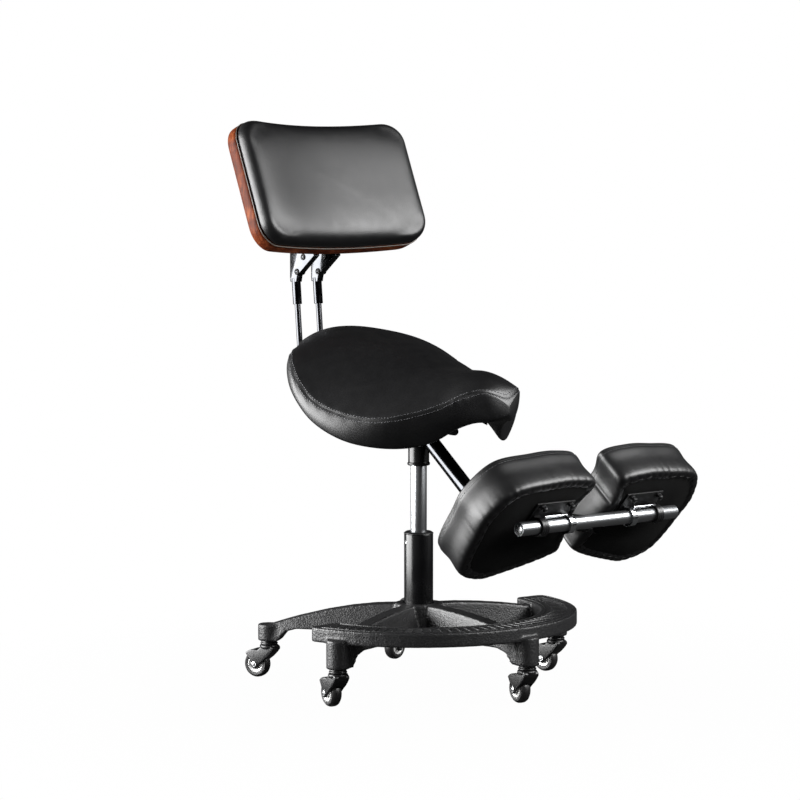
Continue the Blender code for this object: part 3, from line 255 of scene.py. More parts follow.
def turnPiece(name, profile, count, hollow=False):  # a ring drawn out step by step along Z
    freshStart()
    radius, height = profile[0]
    bpy.ops.mesh.primitive_circle_add(vertices=count, radius=radius)
    piece = bpy.context.object
    piece.name = name
    bpy.ops.object.mode_set(mode="EDIT")
    bpy.ops.transform.translate(value=(0, 0, height))
    for wide, high in profile[1:]:
        bpy.ops.mesh.extrude_edges_move(TRANSFORM_OT_translate={"value": (0, 0, high - height)})
        grow = wide / radius
        bpy.ops.transform.resize(value=(grow, grow, 1), center_override=(0, 0, high))
        radius, height = wide, high
    if hollow:
        bpy.ops.mesh.select_all(action="DESELECT")
        bpy.ops.mesh.select_non_manifold()
        bpy.ops.mesh.bridge_edge_loops()
    else:
        bpy.ops.mesh.select_all(action="SELECT")
        bpy.ops.mesh.fill_holes(sides=0)
    faceOutwards(piece)
    return piece


def turnedPart(name, profile, count, edge, place=Matrix(), steps=2, hollow=False):  # placed, edges eased
    piece = turnPiece(name, profile, count, hollow)
    piece.data.transform(place)
    return easeEdges(piece, edge, steps)


def tubeProfile(radius, wall, low, high):
    return [(radius - wall, high), (radius, high), (radius, low), (radius - wall, low)]


def bendTube(name, radius, count, start, heading, steps):  # runs and bends in a plane of constant X
    freshStart()
    place = Vector(start)
    ahead = Vector((0, math.cos(heading), math.sin(heading)))
    bpy.ops.mesh.primitive_circle_add(vertices=count, radius=radius, location=place,
                                      rotation=ahead.to_track_quat("Z", "Y").to_euler())
    piece = bpy.context.object
    piece.name = name
    bpy.ops.object.transform_apply(location=True, rotation=True, scale=True)
    bpy.ops.object.mode_set(mode="EDIT")
    for kind, size, *turn in steps:
        ahead = Vector((0, math.cos(heading), math.sin(heading)))
        if kind == "run":
            bpy.ops.mesh.extrude_edges_move(TRANSFORM_OT_translate={"value": ahead * size})
            place = place + ahead * size
            continue
        inward = Vector((0, -ahead.z, ahead.y)) * math.copysign(1, turn[0])
        center = place + inward * size
        bpy.ops.mesh.spin(steps=max(6, round(abs(turn[0]) / math.radians(3))), angle=-turn[0],
                          center=center, axis=(1, 0, 0))  # spin counts angles the other way
        place = center + Matrix.Rotation(turn[0], 3, "X") @ (place - center)
        heading += turn[0]
    bpy.ops.mesh.select_all(action="SELECT")
    bpy.ops.mesh.fill_holes(sides=0)
    faceOutwards(piece)
    return easeEdges(piece, 0)


def extrudeOutline(name, outline, low, high):  # a flat outline in XY raised along Z
    freshStart()
    bpy.ops.mesh.primitive_circle_add(vertices=len(outline), radius=1, fill_type="NGON")
    piece = bpy.context.object
    piece.name = name
    for vertex, (x, y) in zip(piece.data.vertices, outline):
        vertex.co = (x, y, low)
    bpy.ops.object.mode_set(mode="EDIT")
    bpy.ops.mesh.extrude_region_move(TRANSFORM_OT_translate={"value": (0, 0, high - low)})
    faceOutwards(piece)
    return piece


def cleanCopy(node, name, dissolve=1.0):  # a CAD node's shape, welded and freed of its flat triangles
    piece = bpy.data.objects.new(name, cadNodes[node].data.copy())
    bpy.context.scene.collection.objects.link(piece)
    editAll(piece)
    bpy.ops.mesh.remove_doubles(threshold=weld)
    if dissolve:
        bpy.ops.mesh.dissolve_limited(angle_limit=math.radians(dissolve))
    bpy.ops.object.mode_set(mode="OBJECT")
    return piece


def copyPiece(piece, name, matrix=Matrix()):
    made = bpy.data.objects.new(name, piece.data.copy())
    bpy.context.scene.collection.objects.link(made)
    made.data.transform(matrix)
    if matrix.determinant() < 0:
        made.data.flip_normals()
    return made


def joinPieces(first, *others):
    freshStart()
    for piece in (first, *others):
        piece.select_set(True)
    bpy.context.view_layer.objects.active = first
    bpy.ops.object.join()
    return first


def putAway(*pieces):
    for piece in pieces:
        bpy.data.objects.remove(piece)


def dress(piece, finish, body, slot, *stands):
    piece.data.materials.clear()
    piece.data.materials.append(finishes[finish])
    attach(piece, body)
    if stands:
        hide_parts(*stands)
    return piece


def nodeMiddle(node):
    low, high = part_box(node)
    return (low + high) / 2


def readPoints(piece, kind):
    flat = np.empty(len(piece.data.vertices) * 3)
    piece.data.vertices.foreach_get(kind, flat)
    return flat.reshape(-1, 3)


def coordsOf(piece):
    return readPoints(piece, "co")


def normalsOf(piece):
    return readPoints(piece, "normal")


def setCoords(piece, points):
    piece.data.vertices.foreach_set("co", np.asarray(points, dtype=float).ravel())
    piece.data.update()


# Finishes
leather = {"color": "#040405", "lift": "#080809", "pebble": 0.0021, "crease": 0.020, "rough": (0.39, 0.46)}


def leatherFinish():
    # PU leather: a soft film embossed with a fine pebble, so light spreads in an even satin sheen.
    # The real pebble is about 1 mm and is drawn twice as coarse, so that it shows.
    made, tree, spot = newFinish("blackPuLeather")
    pebble = addNode(tree, "TexVoronoi", {"Vector": spot, "Scale": 1 / leather["pebble"], "Smoothness": 0.6},
                     feature="SMOOTH_F1").outputs["Distance"]
    crease = noiseOf(tree, spot, 1 / leather["crease"], 5.0, Roughness=0.6)
    patches = noiseOf(tree, spot, 14.0, 3.0)
    grain = bumpOf(tree, pebble, 0.22, 0.0004, Normal=bumpOf(tree, crease, 0.07, 0.0012))
    closeFinish(tree, {"Base Color": tonesOf(tree, patches, leather["color"], leather["lift"]),
                       "Roughness": rangeOf(tree, crease, *leather["rough"], 0.3, 0.7),
                       "Normal": grain, "IOR": 1.46, "Specular IOR Level": 0.45})
    return made


def threadFinish():
    # Bonded polyester thread: smooth and a little lighter than the leather, twisted at about 1 mm
    made, tree, spot = newFinish("bondedThread")
    twist = addNode(tree, "TexWave", {"Vector": spot, "Scale": 160.0, "Distortion": 2.0}).outputs[0]
    closeFinish(tree, {"Base Color": tonesOf(tree, twist, "#232325", "#454548"), "Roughness": 0.45,
                       "Normal": bumpOf(tree, twist, 0.4, 0.0002)})
    return made


wood = {"dark": "#200a04", "mid": "#4e200e", "light": "#784022", "grain": 0.0035, "figure": 0.030,
        "slant": -22}


def woodFinish():
    # Rosewood-faced moulded plywood under rubbed satin lacquer: long reddish streaks and darker figure
    made, tree, spot = newFinish("lacqueredRosewood")
    along = addNode(tree, "Mapping", {"Vector": spot, "Rotation": (math.radians(wood["slant"]), 0, 0),
                                      "Scale": (1.0, 1.0, 0.07)}).outputs[0]
    grain = noiseOf(tree, along, 1 / wood["grain"], 6.0, Roughness=0.62, Distortion=0.4)
    figure = noiseOf(tree, spot, 1 / wood["figure"], 3.0, Distortion=0.8)
    both = addNode(tree, "Mix", {0: 0.45, 2: grain, 3: figure}).outputs[0]
    ramp = addNode(tree, "ValToRGB", {"Fac": both})
    bands = ramp.color_ramp.elements
    bands[0].position, bands[0].color = 0.34, toLinear(wood["dark"])
    bands[1].position, bands[1].color = 0.66, toLinear(wood["light"])
    bands.new(0.50).color = toLinear(wood["mid"])
    closeFinish(tree, {"Base Color": ramp.outputs[0], "Roughness": rangeOf(tree, grain, 0.40, 0.55),
                       "Normal": bumpOf(tree, grain, 0.12, 0.0003), "Specular IOR Level": 0.05})
    return made


def paintFinish():
    # Gloss black enamel on the column: dark and smooth, with a faint orange peel
    made, tree, spot = newFinish("glossBlackEnamel")
    peel = noiseOf(tree, spot, 260.0, 2.0)
    dust = noiseOf(tree, spot, 30.0, 5.0)
    closeFinish(tree, {"Base Color": tonesOf(tree, dust, "#060607", "#0b0b0c"),
                       "Roughness": rangeOf(tree, dust, 0.22, 0.30, 0.3, 0.8),
                       "Normal": bumpOf(tree, peel, 0.06, 0.0003), "Specular IOR Level": 0.3})
    return made


baseSkin = {"color": "#0d0d0e", "fleck": "#1c1c1d", "grit": 0.0026}


def nylonFinish():
    # Glass-filled nylon from a spark-eroded mould: an even sandy grit that sparkles where light grazes it.
    # The real grit is under 1 mm and is drawn coarser, so that it shows.
    made, tree, spot = newFinish("texturedNylon")
    grit = noiseOf(tree, spot, 1 / baseSkin["grit"], 4.0, Roughness=0.7)
    cells = addNode(tree, "TexVoronoi", {"Vector": spot, "Scale": 0.8 / baseSkin["grit"]}).outputs["Distance"]
    both = addNode(tree, "Math", {0: grit, 1: cells}, operation="ADD").outputs[0]
    closeFinish(tree, {"Base Color": tonesOf(tree, grit, baseSkin["color"], baseSkin["fleck"]),
                       "Roughness": rangeOf(tree, grit, 0.34, 0.55, 0.3, 0.7),
                       "Normal": bumpOf(tree, both, 0.45, 0.0008)})
    return made


def clothFinish():
    # Black polypropylene dust cloth: matt, with a bonded crosswise print of about 2 mm
    made, tree, spot = newFinish("blackDustCloth")
    waves = [addNode(tree, "TexWave", {"Vector": spot, "Scale": 80.0, "Distortion": 1.5, "Detail": 2.0},
                     bands_direction=way).outputs[0] for way in ("X", "Z")]
    both = addNode(tree, "Math", dict(enumerate(waves)), operation="MULTIPLY").outputs[0]
    closeFinish(tree, {"Base Color": tonesOf(tree, both, "#020202", "#050505"), "Roughness": 0.85,
                       "Normal": bumpOf(tree, both, 0.4, 0.0004), "Specular IOR Level": 0.2})
    return made


# Surfaces with one fine grain: rough is low, high, then the grain's start and end, bump strength and depth
grains = {
    # Bright chrome plate over polished tube: mirror-like, with faint wipe marks and a cool tone
    "chrome": {"name": "brightChrome", "stretch": (1.0, 1.0, 3.0), "scale": 55.0, "detail": 5.0,
               "ragged": 0.65, "tones": ("#d6d8da", "#c2c4c7"), "rough": (0.07, 0.17, 0.35, 0.75),
               "metallic": 1.0},
    # Black chrome plate on bent tube: a dark mirror, so that only the soft boxes show in it
    "blackChrome": {"name": "blackChrome", "scale": 70.0, "detail": 5.0, "ragged": 0.6,
                    "tones": ("#3c3d3f", "#333436"), "rough": (0.12, 0.22, 0.35, 0.75), "metallic": 1.0},
    # Ground and plated tube: fine rings round the lift soften its reflections
    "tube": {"name": "groundLiftTube", "stretch": (0.02, 0.02, 1.0), "scale": 900.0, "detail": 3.0,
             "tones": ("#a2a4a6", "#949698"), "rough": (0.24, 0.38), "bump": (0.04, 0.0002), "metallic": 1.0},
    # Bright zinc plate on small fasteners: greyer and softer than chrome
    "zinc": {"name": "brightZinc", "scale": 420.0, "detail": 4.0, "tones": ("#d0d1d2", "#a9abad"),
             "rough": (0.20, 0.36), "metallic": 1.0},
    # Moulded black nylon on the caster forks and collars: smooth with a faint draw grain
    "moulded": {"name": "smoothBlackNylon", "scale": 300.0, "detail": 3.0, "tones": ("#080809", "#101011"),
                "rough": (0.30, 0.40), "bump": (0.02, 0.0003)},
    # Pressed steel under thin black powder coat: fine even stipple
    "blackSteel": {"name": "powderCoatedSteel", "scale": 620.0, "detail": 2.0,
                   "tones": ("#050506", "#0b0b0c"), "rough": (0.48, 0.64), "bump": (0.2, 0.0003),
                   "specular": 0.3},
    # Polyurethane tread: dense and smooth, dulled a little by use
    "tyre": {"name": "polyurethaneTread", "scale": 210.0, "detail": 5.0, "tones": ("#0a0a0b", "#1d1c1c"),
             "rough": (0.28, 0.50), "bump": (0.10, 0.0003)},
    # Silver-lacquered wheel core: pale metallic paint with a fine flake
    "rim": {"name": "silverLacquer", "scale": 900.0, "detail": 2.0, "tones": ("#dcdcdb", "#b9b9b8"),
            "rough": (0.26, 0.40), "metallic": 0.6},
    # Waxed cord that trims the joint of wood and leather
    "piping": {"name": "waxedPipingCord", "scale": 700.0, "detail": 2.0, "tones": ("#36312c", "#59524b"),
               "rough": (0.5, 0.5)},
}


def grainFinish(values):
    made, tree, spot = newFinish(values["name"])
    if "stretch" in values:
        spot = addNode(tree, "Mapping", {"Vector": spot, "Scale": values["stretch"]}).outputs[0]
    grain = noiseOf(tree, spot, values["scale"], values["detail"], Roughness=values.get("ragged", 0.5))
    feeds = {"Base Color": tonesOf(tree, grain, *values["tones"]),
             "Roughness": rangeOf(tree, grain, *values["rough"]),
             "Metallic": values.get("metallic", 0.0), "Specular IOR Level": values.get("specular", 0.5)}
    if "bump" in values:
        feeds["Normal"] = bumpOf(tree, grain, *values["bump"])
    closeFinish(tree, feeds)
    return made


finishes = {key: grainFinish(values) for key, values in grains.items()}
finishes.update(leather=leatherFinish(), thread=threadFinish(), wood=woodFinish(), paint=paintFinish(),
                nylon=nylonFinish(), cloth=clothFinish())
print("finishes made:", len(finishes))

buildStudio()

# Star base: the casting with softened edges, and a generic tread on its foot ring
castBase = {"voxel": 0.0021, "smoothing": 5}
ringTread = {"ridges": (0.2655, 0.2170), "height": 0.0010, "ridge": 0.0016, "taper": 0.55, "span": 79,
             "steps": 120, "ribs": 44, "ribSpan": 0.97, "ribFrom": 0.2275, "ribTo": 0.2560,
             "ribWidth": 0.0030, "ribEdge": 0.0005}
ringTop = frame["record"]["mounts"][0]["pos_m"][2]


def buildBase():
    piece = cleanCopy("star_base", "baseCasting", dissolve=0)
    addModifier(piece, "REMESH", mode="VOXEL", voxel_size=castBase["voxel"])
    addModifier(piece, "SMOOTH", factor=0.5, iterations=castBase["smoothing"])
    dress(shadeSmooth(piece), "nylon", "base", "base_black", "star_base")

    # raised ridges along both edges of the ring, and short ribs between them
    t = ringTread
    span = math.radians(t["span"])
    parts = []
    for radius in t["ridges"]:
        freshStart()
        bpy.ops.mesh.primitive_plane_add(size=1)
        ridge = bpy.context.object
        half, tall, slim = t["ridge"] / 2, t["height"], t["ridge"] / 2 * t["taper"]
        corners = ((-half, -tall), (half, -tall), (-slim, tall), (slim, tall))
        for vertex, (out, up) in zip(ridge.data.vertices, corners):
            vertex.co = columnAxis @ Matrix.Rotation(-span, 4, "Z") @ Vector((0, -radius - out, ringTop + up))
        bpy.ops.object.mode_set(mode="EDIT")
        bpy.ops.mesh.select_all(action="SELECT")
        bpy.ops.mesh.spin(steps=t["steps"], angle=-2 * span, center=columnAxis.translation, axis=(0, 0, 1))
        faceOutwards(ridge)
        parts.append(ridge)
    freshStart()
    bpy.ops.mesh.primitive_cube_add(size=1)
    rib = bpy.context.object
    size = Matrix.Diagonal((t["ribWidth"], t["ribTo"] - t["ribFrom"], 2 * t["height"], 1))
    rib.data.transform(Matrix.Translation((0, -(t["ribFrom"] + t["ribTo"]) / 2, ringTop)) @ size)
    easeEdges(rib, t["ribEdge"])
    for i in range(t["ribs"]):
        turn = span * t["ribSpan"] * (2 * i / (t["ribs"] - 1) - 1)
        parts.append(copyPiece(rib, f"rib{i}", columnAxis @ Matrix.Rotation(turn, 4, "Z")))
    putAway(rib)
    tread = joinPieces(*parts)
    tread.name = "ringTread"
    dress(easeEdges(tread, 0), "nylon", "base", "base_black")
    print("base built")


buildBase()

# Column and gas lift
lift = {"wall": 0.002, "tubeWall": 0.0025, "gap": 0.0003, "slide": 0.0004, "flange": 0.004,
        "flangeEdge": 0.0012, "lip": 0.0035, "screwTurn": 168, "screwDrop": 0.014,
        "screwRadius": 0.0028, "screwHole": 0.45}


def buildLift():
    radius, wall = (columnHigh.x - columnLow.x) / 2, lift["wall"]
    profile = tubeProfile(radius, wall, columnLow.z, columnHigh.z)
    column = turnedPart("columnSleeve", profile, 72, 0.0008, columnAxis, 3, True)
    dress(column, "paint", "base", "column_black", "column_tube")

    low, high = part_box("guide_bush")
    rodLow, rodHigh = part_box("gas_cylinder")
    outer, rod = (high.x - low.x) / 2, (rodHigh.x - rodLow.x) / 2
    bore, neck, flange = rod + lift["slide"], radius - wall - lift["gap"], high.z - lift["flange"]
    profile = [(bore, high.z), (outer - lift["lip"], high.z), (outer, flange + lift["flangeEdge"]),
               (outer, flange), (neck, flange), (neck, low.z), (bore, low.z)]
    bush = turnedPart("guideBush", profile, 64, 0.0006, columnAxis, 3, True)
    dress(bush, "moulded", "base", "black_plastic", "guide_bush")

    profile = tubeProfile(rod, lift["tubeWall"], rodLow.z, rodHigh.z)
    tube = turnedPart("liftTube", profile, 64, 0.0005, columnAxis, hollow=True)
    dress(tube, "tube", "seat", "chrome", "gas_cylinder")

    # grub screw near the column's lip
    turn, size = math.radians(lift["screwTurn"]), lift["screwRadius"]
    hole = size * lift["screwHole"]
    ahead = Vector((math.cos(turn), math.sin(turn), 0))
    spot = Vector((columnSpot.x, columnSpot.y, columnHigh.z - lift["screwDrop"])) + ahead * radius
    place = Matrix.Translation(spot) @ ahead.to_track_quat("Z", "Y").to_matrix().to_4x4()
    profile = [(hole, -0.0022), (hole, 0.0003), (size, 0.0004), (size, -0.0016)]
    screw = turnedPart("columnScrew", profile, 20, 0.0002, place, hollow=True)
    dress(screw, "zinc", "base", "column_black")
    print("lift built")


buildLift()

# Casters, built once about the swivel axis, the wheel trailing along +X. Profiles are radius and height.
caster = {
    "trail": 0.023, "axle": 0.0234, "wheel": 0.0234, "tread": 0.018, "core": 0.0148, "coreGap": 0.0003,
    "cheekIn": 0.0104, "cheekOut": 0.0138, "cheekEdge": 0.0022, "room": 0.0255, "foot": 0.0078,
    "crown": 0.0265,
    # inward from the tread's radius and from its side
    "treadSteps": ((0.0042, 0.0), (0.0016, 0.0022), (0.0003, 0.0050)),
    # inward from the core's rim, and half width
    "coreSteps": ((0, 0.0088), (0.0014, 0.0090), (0.0018, 0.0076), (0.0050, 0.0072), (0.0053, 0.0084),
                  (0.0066, 0.0084), (0.0069, 0.0070)),
    "hubSteps": ((0.0062, 0.0070), (0.0060, 0.0094), (0.0034, 0.0094)),
    "axleSteps": ((0.0015, 0.0152), (0.0034, 0.0148), (0.0050, 0.0139), (0.0052, 0.0130), (0.0030, 0.0130),
                  (0.0030, -0.0130), (0.0026, -0.0158)),
    "nutSteps": ((0.0031, -0.0130), (0.0056, -0.0130), (0.0056, -0.0150), (0.0031, -0.0150)),
    "forkBack": ((0.0105, 0.0545), (0.0020, 0.0570), (-0.0120, 0.0570), (-0.0150, 0.0545), (-0.0150, 0.0505),
                 (-0.0100, 0.0440), (-0.0030, 0.0370), (0.0060, 0.0300)),
    "headSteps": ((0.0049, 0.0584), (0.0155, 0.0584), (0.0165, 0.0572), (0.0165, 0.0532), (0.0143, 0.0512),
                  (0.0049, 0.0512)),
    "raceSteps": ((0.0050, 0.0717), (0.0050, 0.0657), (0.0135, 0.0657), (0.0140, 0.0639), (0.0125, 0.0634),
                  (0.0125, 0.0627), (0.0150, 0.0623), (0.0152, 0.0605), (0.0140, 0.0599), (0.0138, 0.0588),
                  (0.0045, 0.0588), (0.0045, 0.0512)),
}


def arcPoints(center, radius, start, end, count):
    return [(center[0] + radius * math.cos(a), center[1] + radius * math.sin(a))
            for a in np.radians(np.linspace(start, end, count))]


def buildCasters():
    c = caster
    half, wheel, core = c["tread"] / 2, c["wheel"], c["core"]
    steps = [(core, half)] + [(wheel - deep, half - side) for deep, side in c["treadSteps"]]
    tyre = turnPiece("tyre", steps + [(wheel, 0.0)] + [(r, -h) for r, h in reversed(steps)], 64, hollow=True)
    easeEdges(tyre, 0.0005, 3, 50)
    steps = [(core - c["coreGap"] - deep, side) for deep, side in c["coreSteps"]] + list(c["hubSteps"])
    hub = turnPiece("core", steps + [(r, -h) for r, h in reversed(steps)], 64, hollow=True)
    easeEdges(hub, 0.00035, 2, 25)
    lay = Matrix.Translation((c["trail"], 0, c["axle"])) @ Matrix.Rotation(math.pi / 2, 4, "X")
    for piece in (tyre, hub):
        piece.data.transform(lay)

    # axle: a domed head on one side, a hexagon nut on the other
    shaft = turnedPart("axle", c["axleSteps"], 32, 0.0003)
    axle = joinPieces(shaft, turnedPart("nut", c["nutSteps"], 6, 0.0003, hollow=True))
    axle.data.transform(lay)

    # fork: a hood drawn in side view, hollowed for the wheel, on a round head
    center = (c["trail"], c["axle"])
    outline = arcPoints(center, c["foot"], -165, 25, 14) + arcPoints(center, c["crown"], 48, 104, 10)
    fork = extrudeOutline("fork", outline + list(c["forkBack"]), -c["cheekOut"], c["cheekOut"])
    fork.data.transform(Matrix.Rotation(math.pi / 2, 4, "X"))
    faceOutwards(fork)
    addModifier(fork, "BEVEL", width=c["cheekEdge"], segments=4, limit_method="ANGLE",
                angle_limit=math.radians(50))
    room = turnPiece("room", [(c["room"], c["cheekIn"]), (c["room"], -c["cheekIn"])], 48)
    room.data.transform(lay)
    addModifier(fork, "BOOLEAN", operation="DIFFERENCE", solver="EXACT", object=room)
    putAway(room)
    head = turnedPart("head", c["headSteps"], 48, 0.0005, hollow=True)
    fork = joinPieces(easeEdges(fork, 0), head)

    # bearing races stacked under the leg's boss
    race = turnedPart("race", c["raceSteps"], 48, 0.00025)

    rows = (("Tread_", tyre, "tyre", "wheel_", "tyre", "tyre_"),
            ("Core_", hub, "rim", "wheel_", "wheel_core", "wheel_core_"),
            ("Fork_", fork, "moulded", "caster_", "black_plastic", "fork_"),
            ("Axle_", axle, "zinc", "caster_", "steel", "axle_"),
            ("Race_", race, "moulded", "base", "steel", "stem_"))
    for name in casterNames:
        stem, middle = nodeMiddle("stem_" + name), nodeMiddle("tyre_" + name)
        turn = math.atan2(middle.y - stem.y, middle.x - stem.x)
        place = Matrix.Translation((stem.x, stem.y, 0)) @ Matrix.Rotation(turn, 4, "Z")
        for label, piece, finish, body, slot, node in rows:
            made = copyPiece(piece, "caster" + label + name, place)
            dress(made, finish, body if body == "base" else body + name, slot, node + name)
    putAway(tyre, hub, fork, axle, race)
    print("casters built")


buildCasters()

# Knee rest: arm, crossbar and its plugs
kneeArm = {"radius": 0.0135, "startBack": 0.0200, "startRise": 0.012, "firstSlope": 18, "slope": 39.3,
           "upperBend": 0.060, "lowerBend": 0.070, "drop": 0.111}
bar = {"wall": 0.002, "cap": 0.0022, "gap": 0.0002, "plug": 0.014, "proud": 0.0004}
padTilt = math.radians(40)
barSpot = nodeMiddle("crossbar")
housingFoot = 0.412
padPlace = Matrix.Translation(barSpot) @ Matrix.Rotation(padTilt - math.pi / 2, 4, "X")


def buildKneeRest():
    first, slope = math.radians(kneeArm["firstSlope"]), math.radians(kneeArm["slope"])
    back, upper, lower = kneeArm["startBack"], kneeArm["upperBend"], kneeArm["lowerBend"]
    bends = upper * (math.cos(first) - math.cos(slope)) + lower * (1 - math.cos(slope))
    slant = (kneeArm["drop"] - bends) / math.sin(slope)
    covered = (back + upper * (math.sin(slope) - math.sin(first)) + slant * math.cos(slope)
               + lower * math.sin(slope))
    start = (0, columnSpot.y - back, housingFoot + kneeArm["startRise"])
    steps = [("bend", upper, slope - first), ("run", slant), ("bend", lower, -slope),
             ("run", columnSpot.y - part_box("knee_arm")[0].y - covered)]
    arm = bendTube("kneeArm", kneeArm["radius"], 48, start, math.pi + first, steps)
    dress(arm, "blackChrome", "seat", "chrome", "knee_arm")

    low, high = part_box("crossbar")
    half, radius = (high.x - low.x) / 2, (high.z - low.z) / 2
    along = Matrix.Translation(barSpot) @ Matrix.Rotation(math.pi / 2, 4, "Y")
    profile = tubeProfile(radius, bar["wall"], -half, half)
    rail = turnedPart("crossbar_rail", profile, 64, 0.0006, along, 3, True)
    dress(rail, "tube", "seat", "chrome", "crossbar")
    inside = radius - bar["wall"] - bar["gap"]
    profile = [(inside * 0.35, half + bar["proud"]), (inside * 0.8, half), (inside, half - bar["cap"]),
               (inside, half - bar["plug"])]
    for name, side in sides:
        place = along if side > 0 else along @ Matrix.Rotation(math.pi, 4, "X")
        dress(turnedPart("barPlug_" + name, profile, 40, 0.0004, place), "zinc", "seat", "chrome")
    print("knee arm built")


buildKneeRest()


# Padded forms: a ball whose rings are laid on the piece's own sections
def ballForm(name, around, rings, point):
    freshStart()
    bpy.ops.mesh.primitive_uv_sphere_add(segments=around, ring_count=rings, radius=1)
    piece = bpy.context.object
    piece.name = name
    index = np.zeros((rings + 1, around), int)
    for vertex in piece.data.vertices:
        ring = round(math.acos(max(-1, min(1, vertex.co.z))) / math.pi * rings)
        spoke = round(math.atan2(vertex.co.y, vertex.co.x) / math.tau * around) % around
        if ring in (0, rings):
            index[ring, :] = vertex.index
        else:
            index[ring, spoke] = vertex.index
    places = coordsOf(piece)
    for ring in range(rings + 1):
        for spoke in range(around):
            places[index[ring, spoke]] = point(ring, spoke)
    setCoords(piece, places)
    editAll(piece)
    bpy.ops.mesh.normals_make_consistent(inside=False)
    bpy.ops.object.mode_set(mode="OBJECT")
    bpy.ops.object.shade_smooth()
    return piece, index


# The cover's cloth
cloth = {"quality": 5, "mass": 0.3, "tension_stiffness": 18, "compression_stiffness": 18,
         "shear_stiffness": 8, "bending_stiffness": 4, "use_pressure": True, "uniform_pressure_force": 4,
         "vertex_group_mass": "held"}
clothSteps = 20


def fillWithFoam(piece, index, pinned, cap, calm, ease=1.0):  # cloth cover blown out by its filling
    before = coordsOf(piece)
    group = piece.vertex_groups.new(name="held")
    group.add([int(i) for i in np.nonzero(pinned)[0]], 1.0, "REPLACE")
    takeUp(piece)
    cover = piece.modifiers.new("Cover", "CLOTH")
    for name, value in cloth.items():
        setattr(cover.settings, name, value)
    cover.settings.effector_weights.gravity = 0
    cover.collision_settings.use_collision = False
    cover.point_cache.frame_start, cover.point_cache.frame_end = 1, clothSteps
    scene = bpy.context.scene
    for step in range(clothSteps):
        scene.frame_set(step + 1)
    bpy.ops.object.modifier_apply(modifier=cover.name)
    scene.frame_set(1)
    moved = coordsOf(piece) - before
    size = np.linalg.norm(moved, axis=1, keepdims=True)
    moved *= np.minimum(1, cap / np.maximum(size, 1e-9))
    field = moved[index]
    last = len(field) - 1
    for _ in range(calm):  # the foam evens out what the cloth alone would wrinkle
        up, down = field[np.r_[0, :last]], field[np.r_[1:last + 1, last]]
        field = (field + np.roll(field, 1, axis=1) + np.roll(field, -1, axis=1) + up + down) / 5
        field[0], field[-1] = field[0].mean(axis=0), field[-1].mean(axis=0)
    moved[index] = field
    setCoords(piece, before + moved * ease)
    piece.vertex_groups.clear()
    print(piece.name, "filled, moved up to", round(float(size.max()) * 1000, 1), "mm")


def pushOut(piece, index, amount):  # amount per ring and spoke, along the surface normals
    shift = np.zeros(len(piece.data.vertices))
    shift[index.ravel()] = np.asarray(amount).ravel()
    setCoords(piece, coordsOf(piece) + normalsOf(piece) * shift[:, None])


def refine(piece):
    addModifier(piece, "SUBSURF", levels=1, render_levels=1)
    shadeSmooth(piece)


def lengthsOf(path):  # how far along it each point lies
    return np.concatenate([[0], np.cumsum(np.linalg.norm(np.diff(path, axis=0), axis=1))])


def evenSteps(path, count, closed=False):  # the same path in equal lengths
    run = lengthsOf(path)
    at = np.linspace(0, run[-1], count, endpoint=not closed)
    return np.stack([np.interp(at, run, path[:, k]) for k in range(path.shape[1])], axis=1)


def closedSpline(points, count):  # a smooth loop through the points, in equal steps
    points = np.asarray(points, float)
    fine = []
    for i in range(len(points)):
        before, here, there, after = (points[(i + k) % len(points)] for k in (-1, 0, 1, 2))
        for t in np.linspace(0, 1, 40, endpoint=False):
            bend = 2 * before - 5 * here + 4 * there - after
            twist = 3 * here - before - 3 * there + after
            fine.append((2 * here + (there - before) * t + bend * t * t + twist * t**3) / 2)
    return evenSteps(np.array(fine + fine[:1]), count, closed=True)


def stitchRow(name, path, normals, pitch, length, radius):  # thread on a path, a small lens for each stitch
    run = lengthsOf(path)
    freshStart()
    bpy.ops.mesh.primitive_uv_sphere_add(segments=6, ring_count=4, radius=1)
    lens = bpy.context.object
    base = coordsOf(lens)
    faces = [list(p.vertices) for p in lens.data.polygons]
    putAway(lens)

    def along(rows, place):
        return np.array([np.interp(place * pitch, run, rows[:, k]) for k in range(3)])

    places, loops = [], []
    for i in range(int(run[-1] / pitch)):
        ahead = along(path, i + 0.95) - along(path, i + 0.05)
        ahead /= np.linalg.norm(ahead)
        up = along(normals, i + 0.5)
        up = up - ahead * (up @ ahead)
        up /= max(np.linalg.norm(up), 1e-9)
        across = np.cross(up, ahead)
        loops += [[v + len(places) * len(base) for v in face] for face in faces]
        flat = base[:, :1] * across * radius + base[:, 1:2] * up * radius * 0.8
        places.append(along(path, i + 0.5) + (flat + base[:, 2:] * ahead * length / 2))
    mesh = bpy.data.meshes.new(name)
    mesh.from_pydata(np.concatenate(places).tolist(), [], loops)
    piece = bpy.data.objects.new(name, mesh)
    bpy.context.scene.collection.objects.link(piece)
    faceOutwards(piece)
    return shadeSmooth(piece)


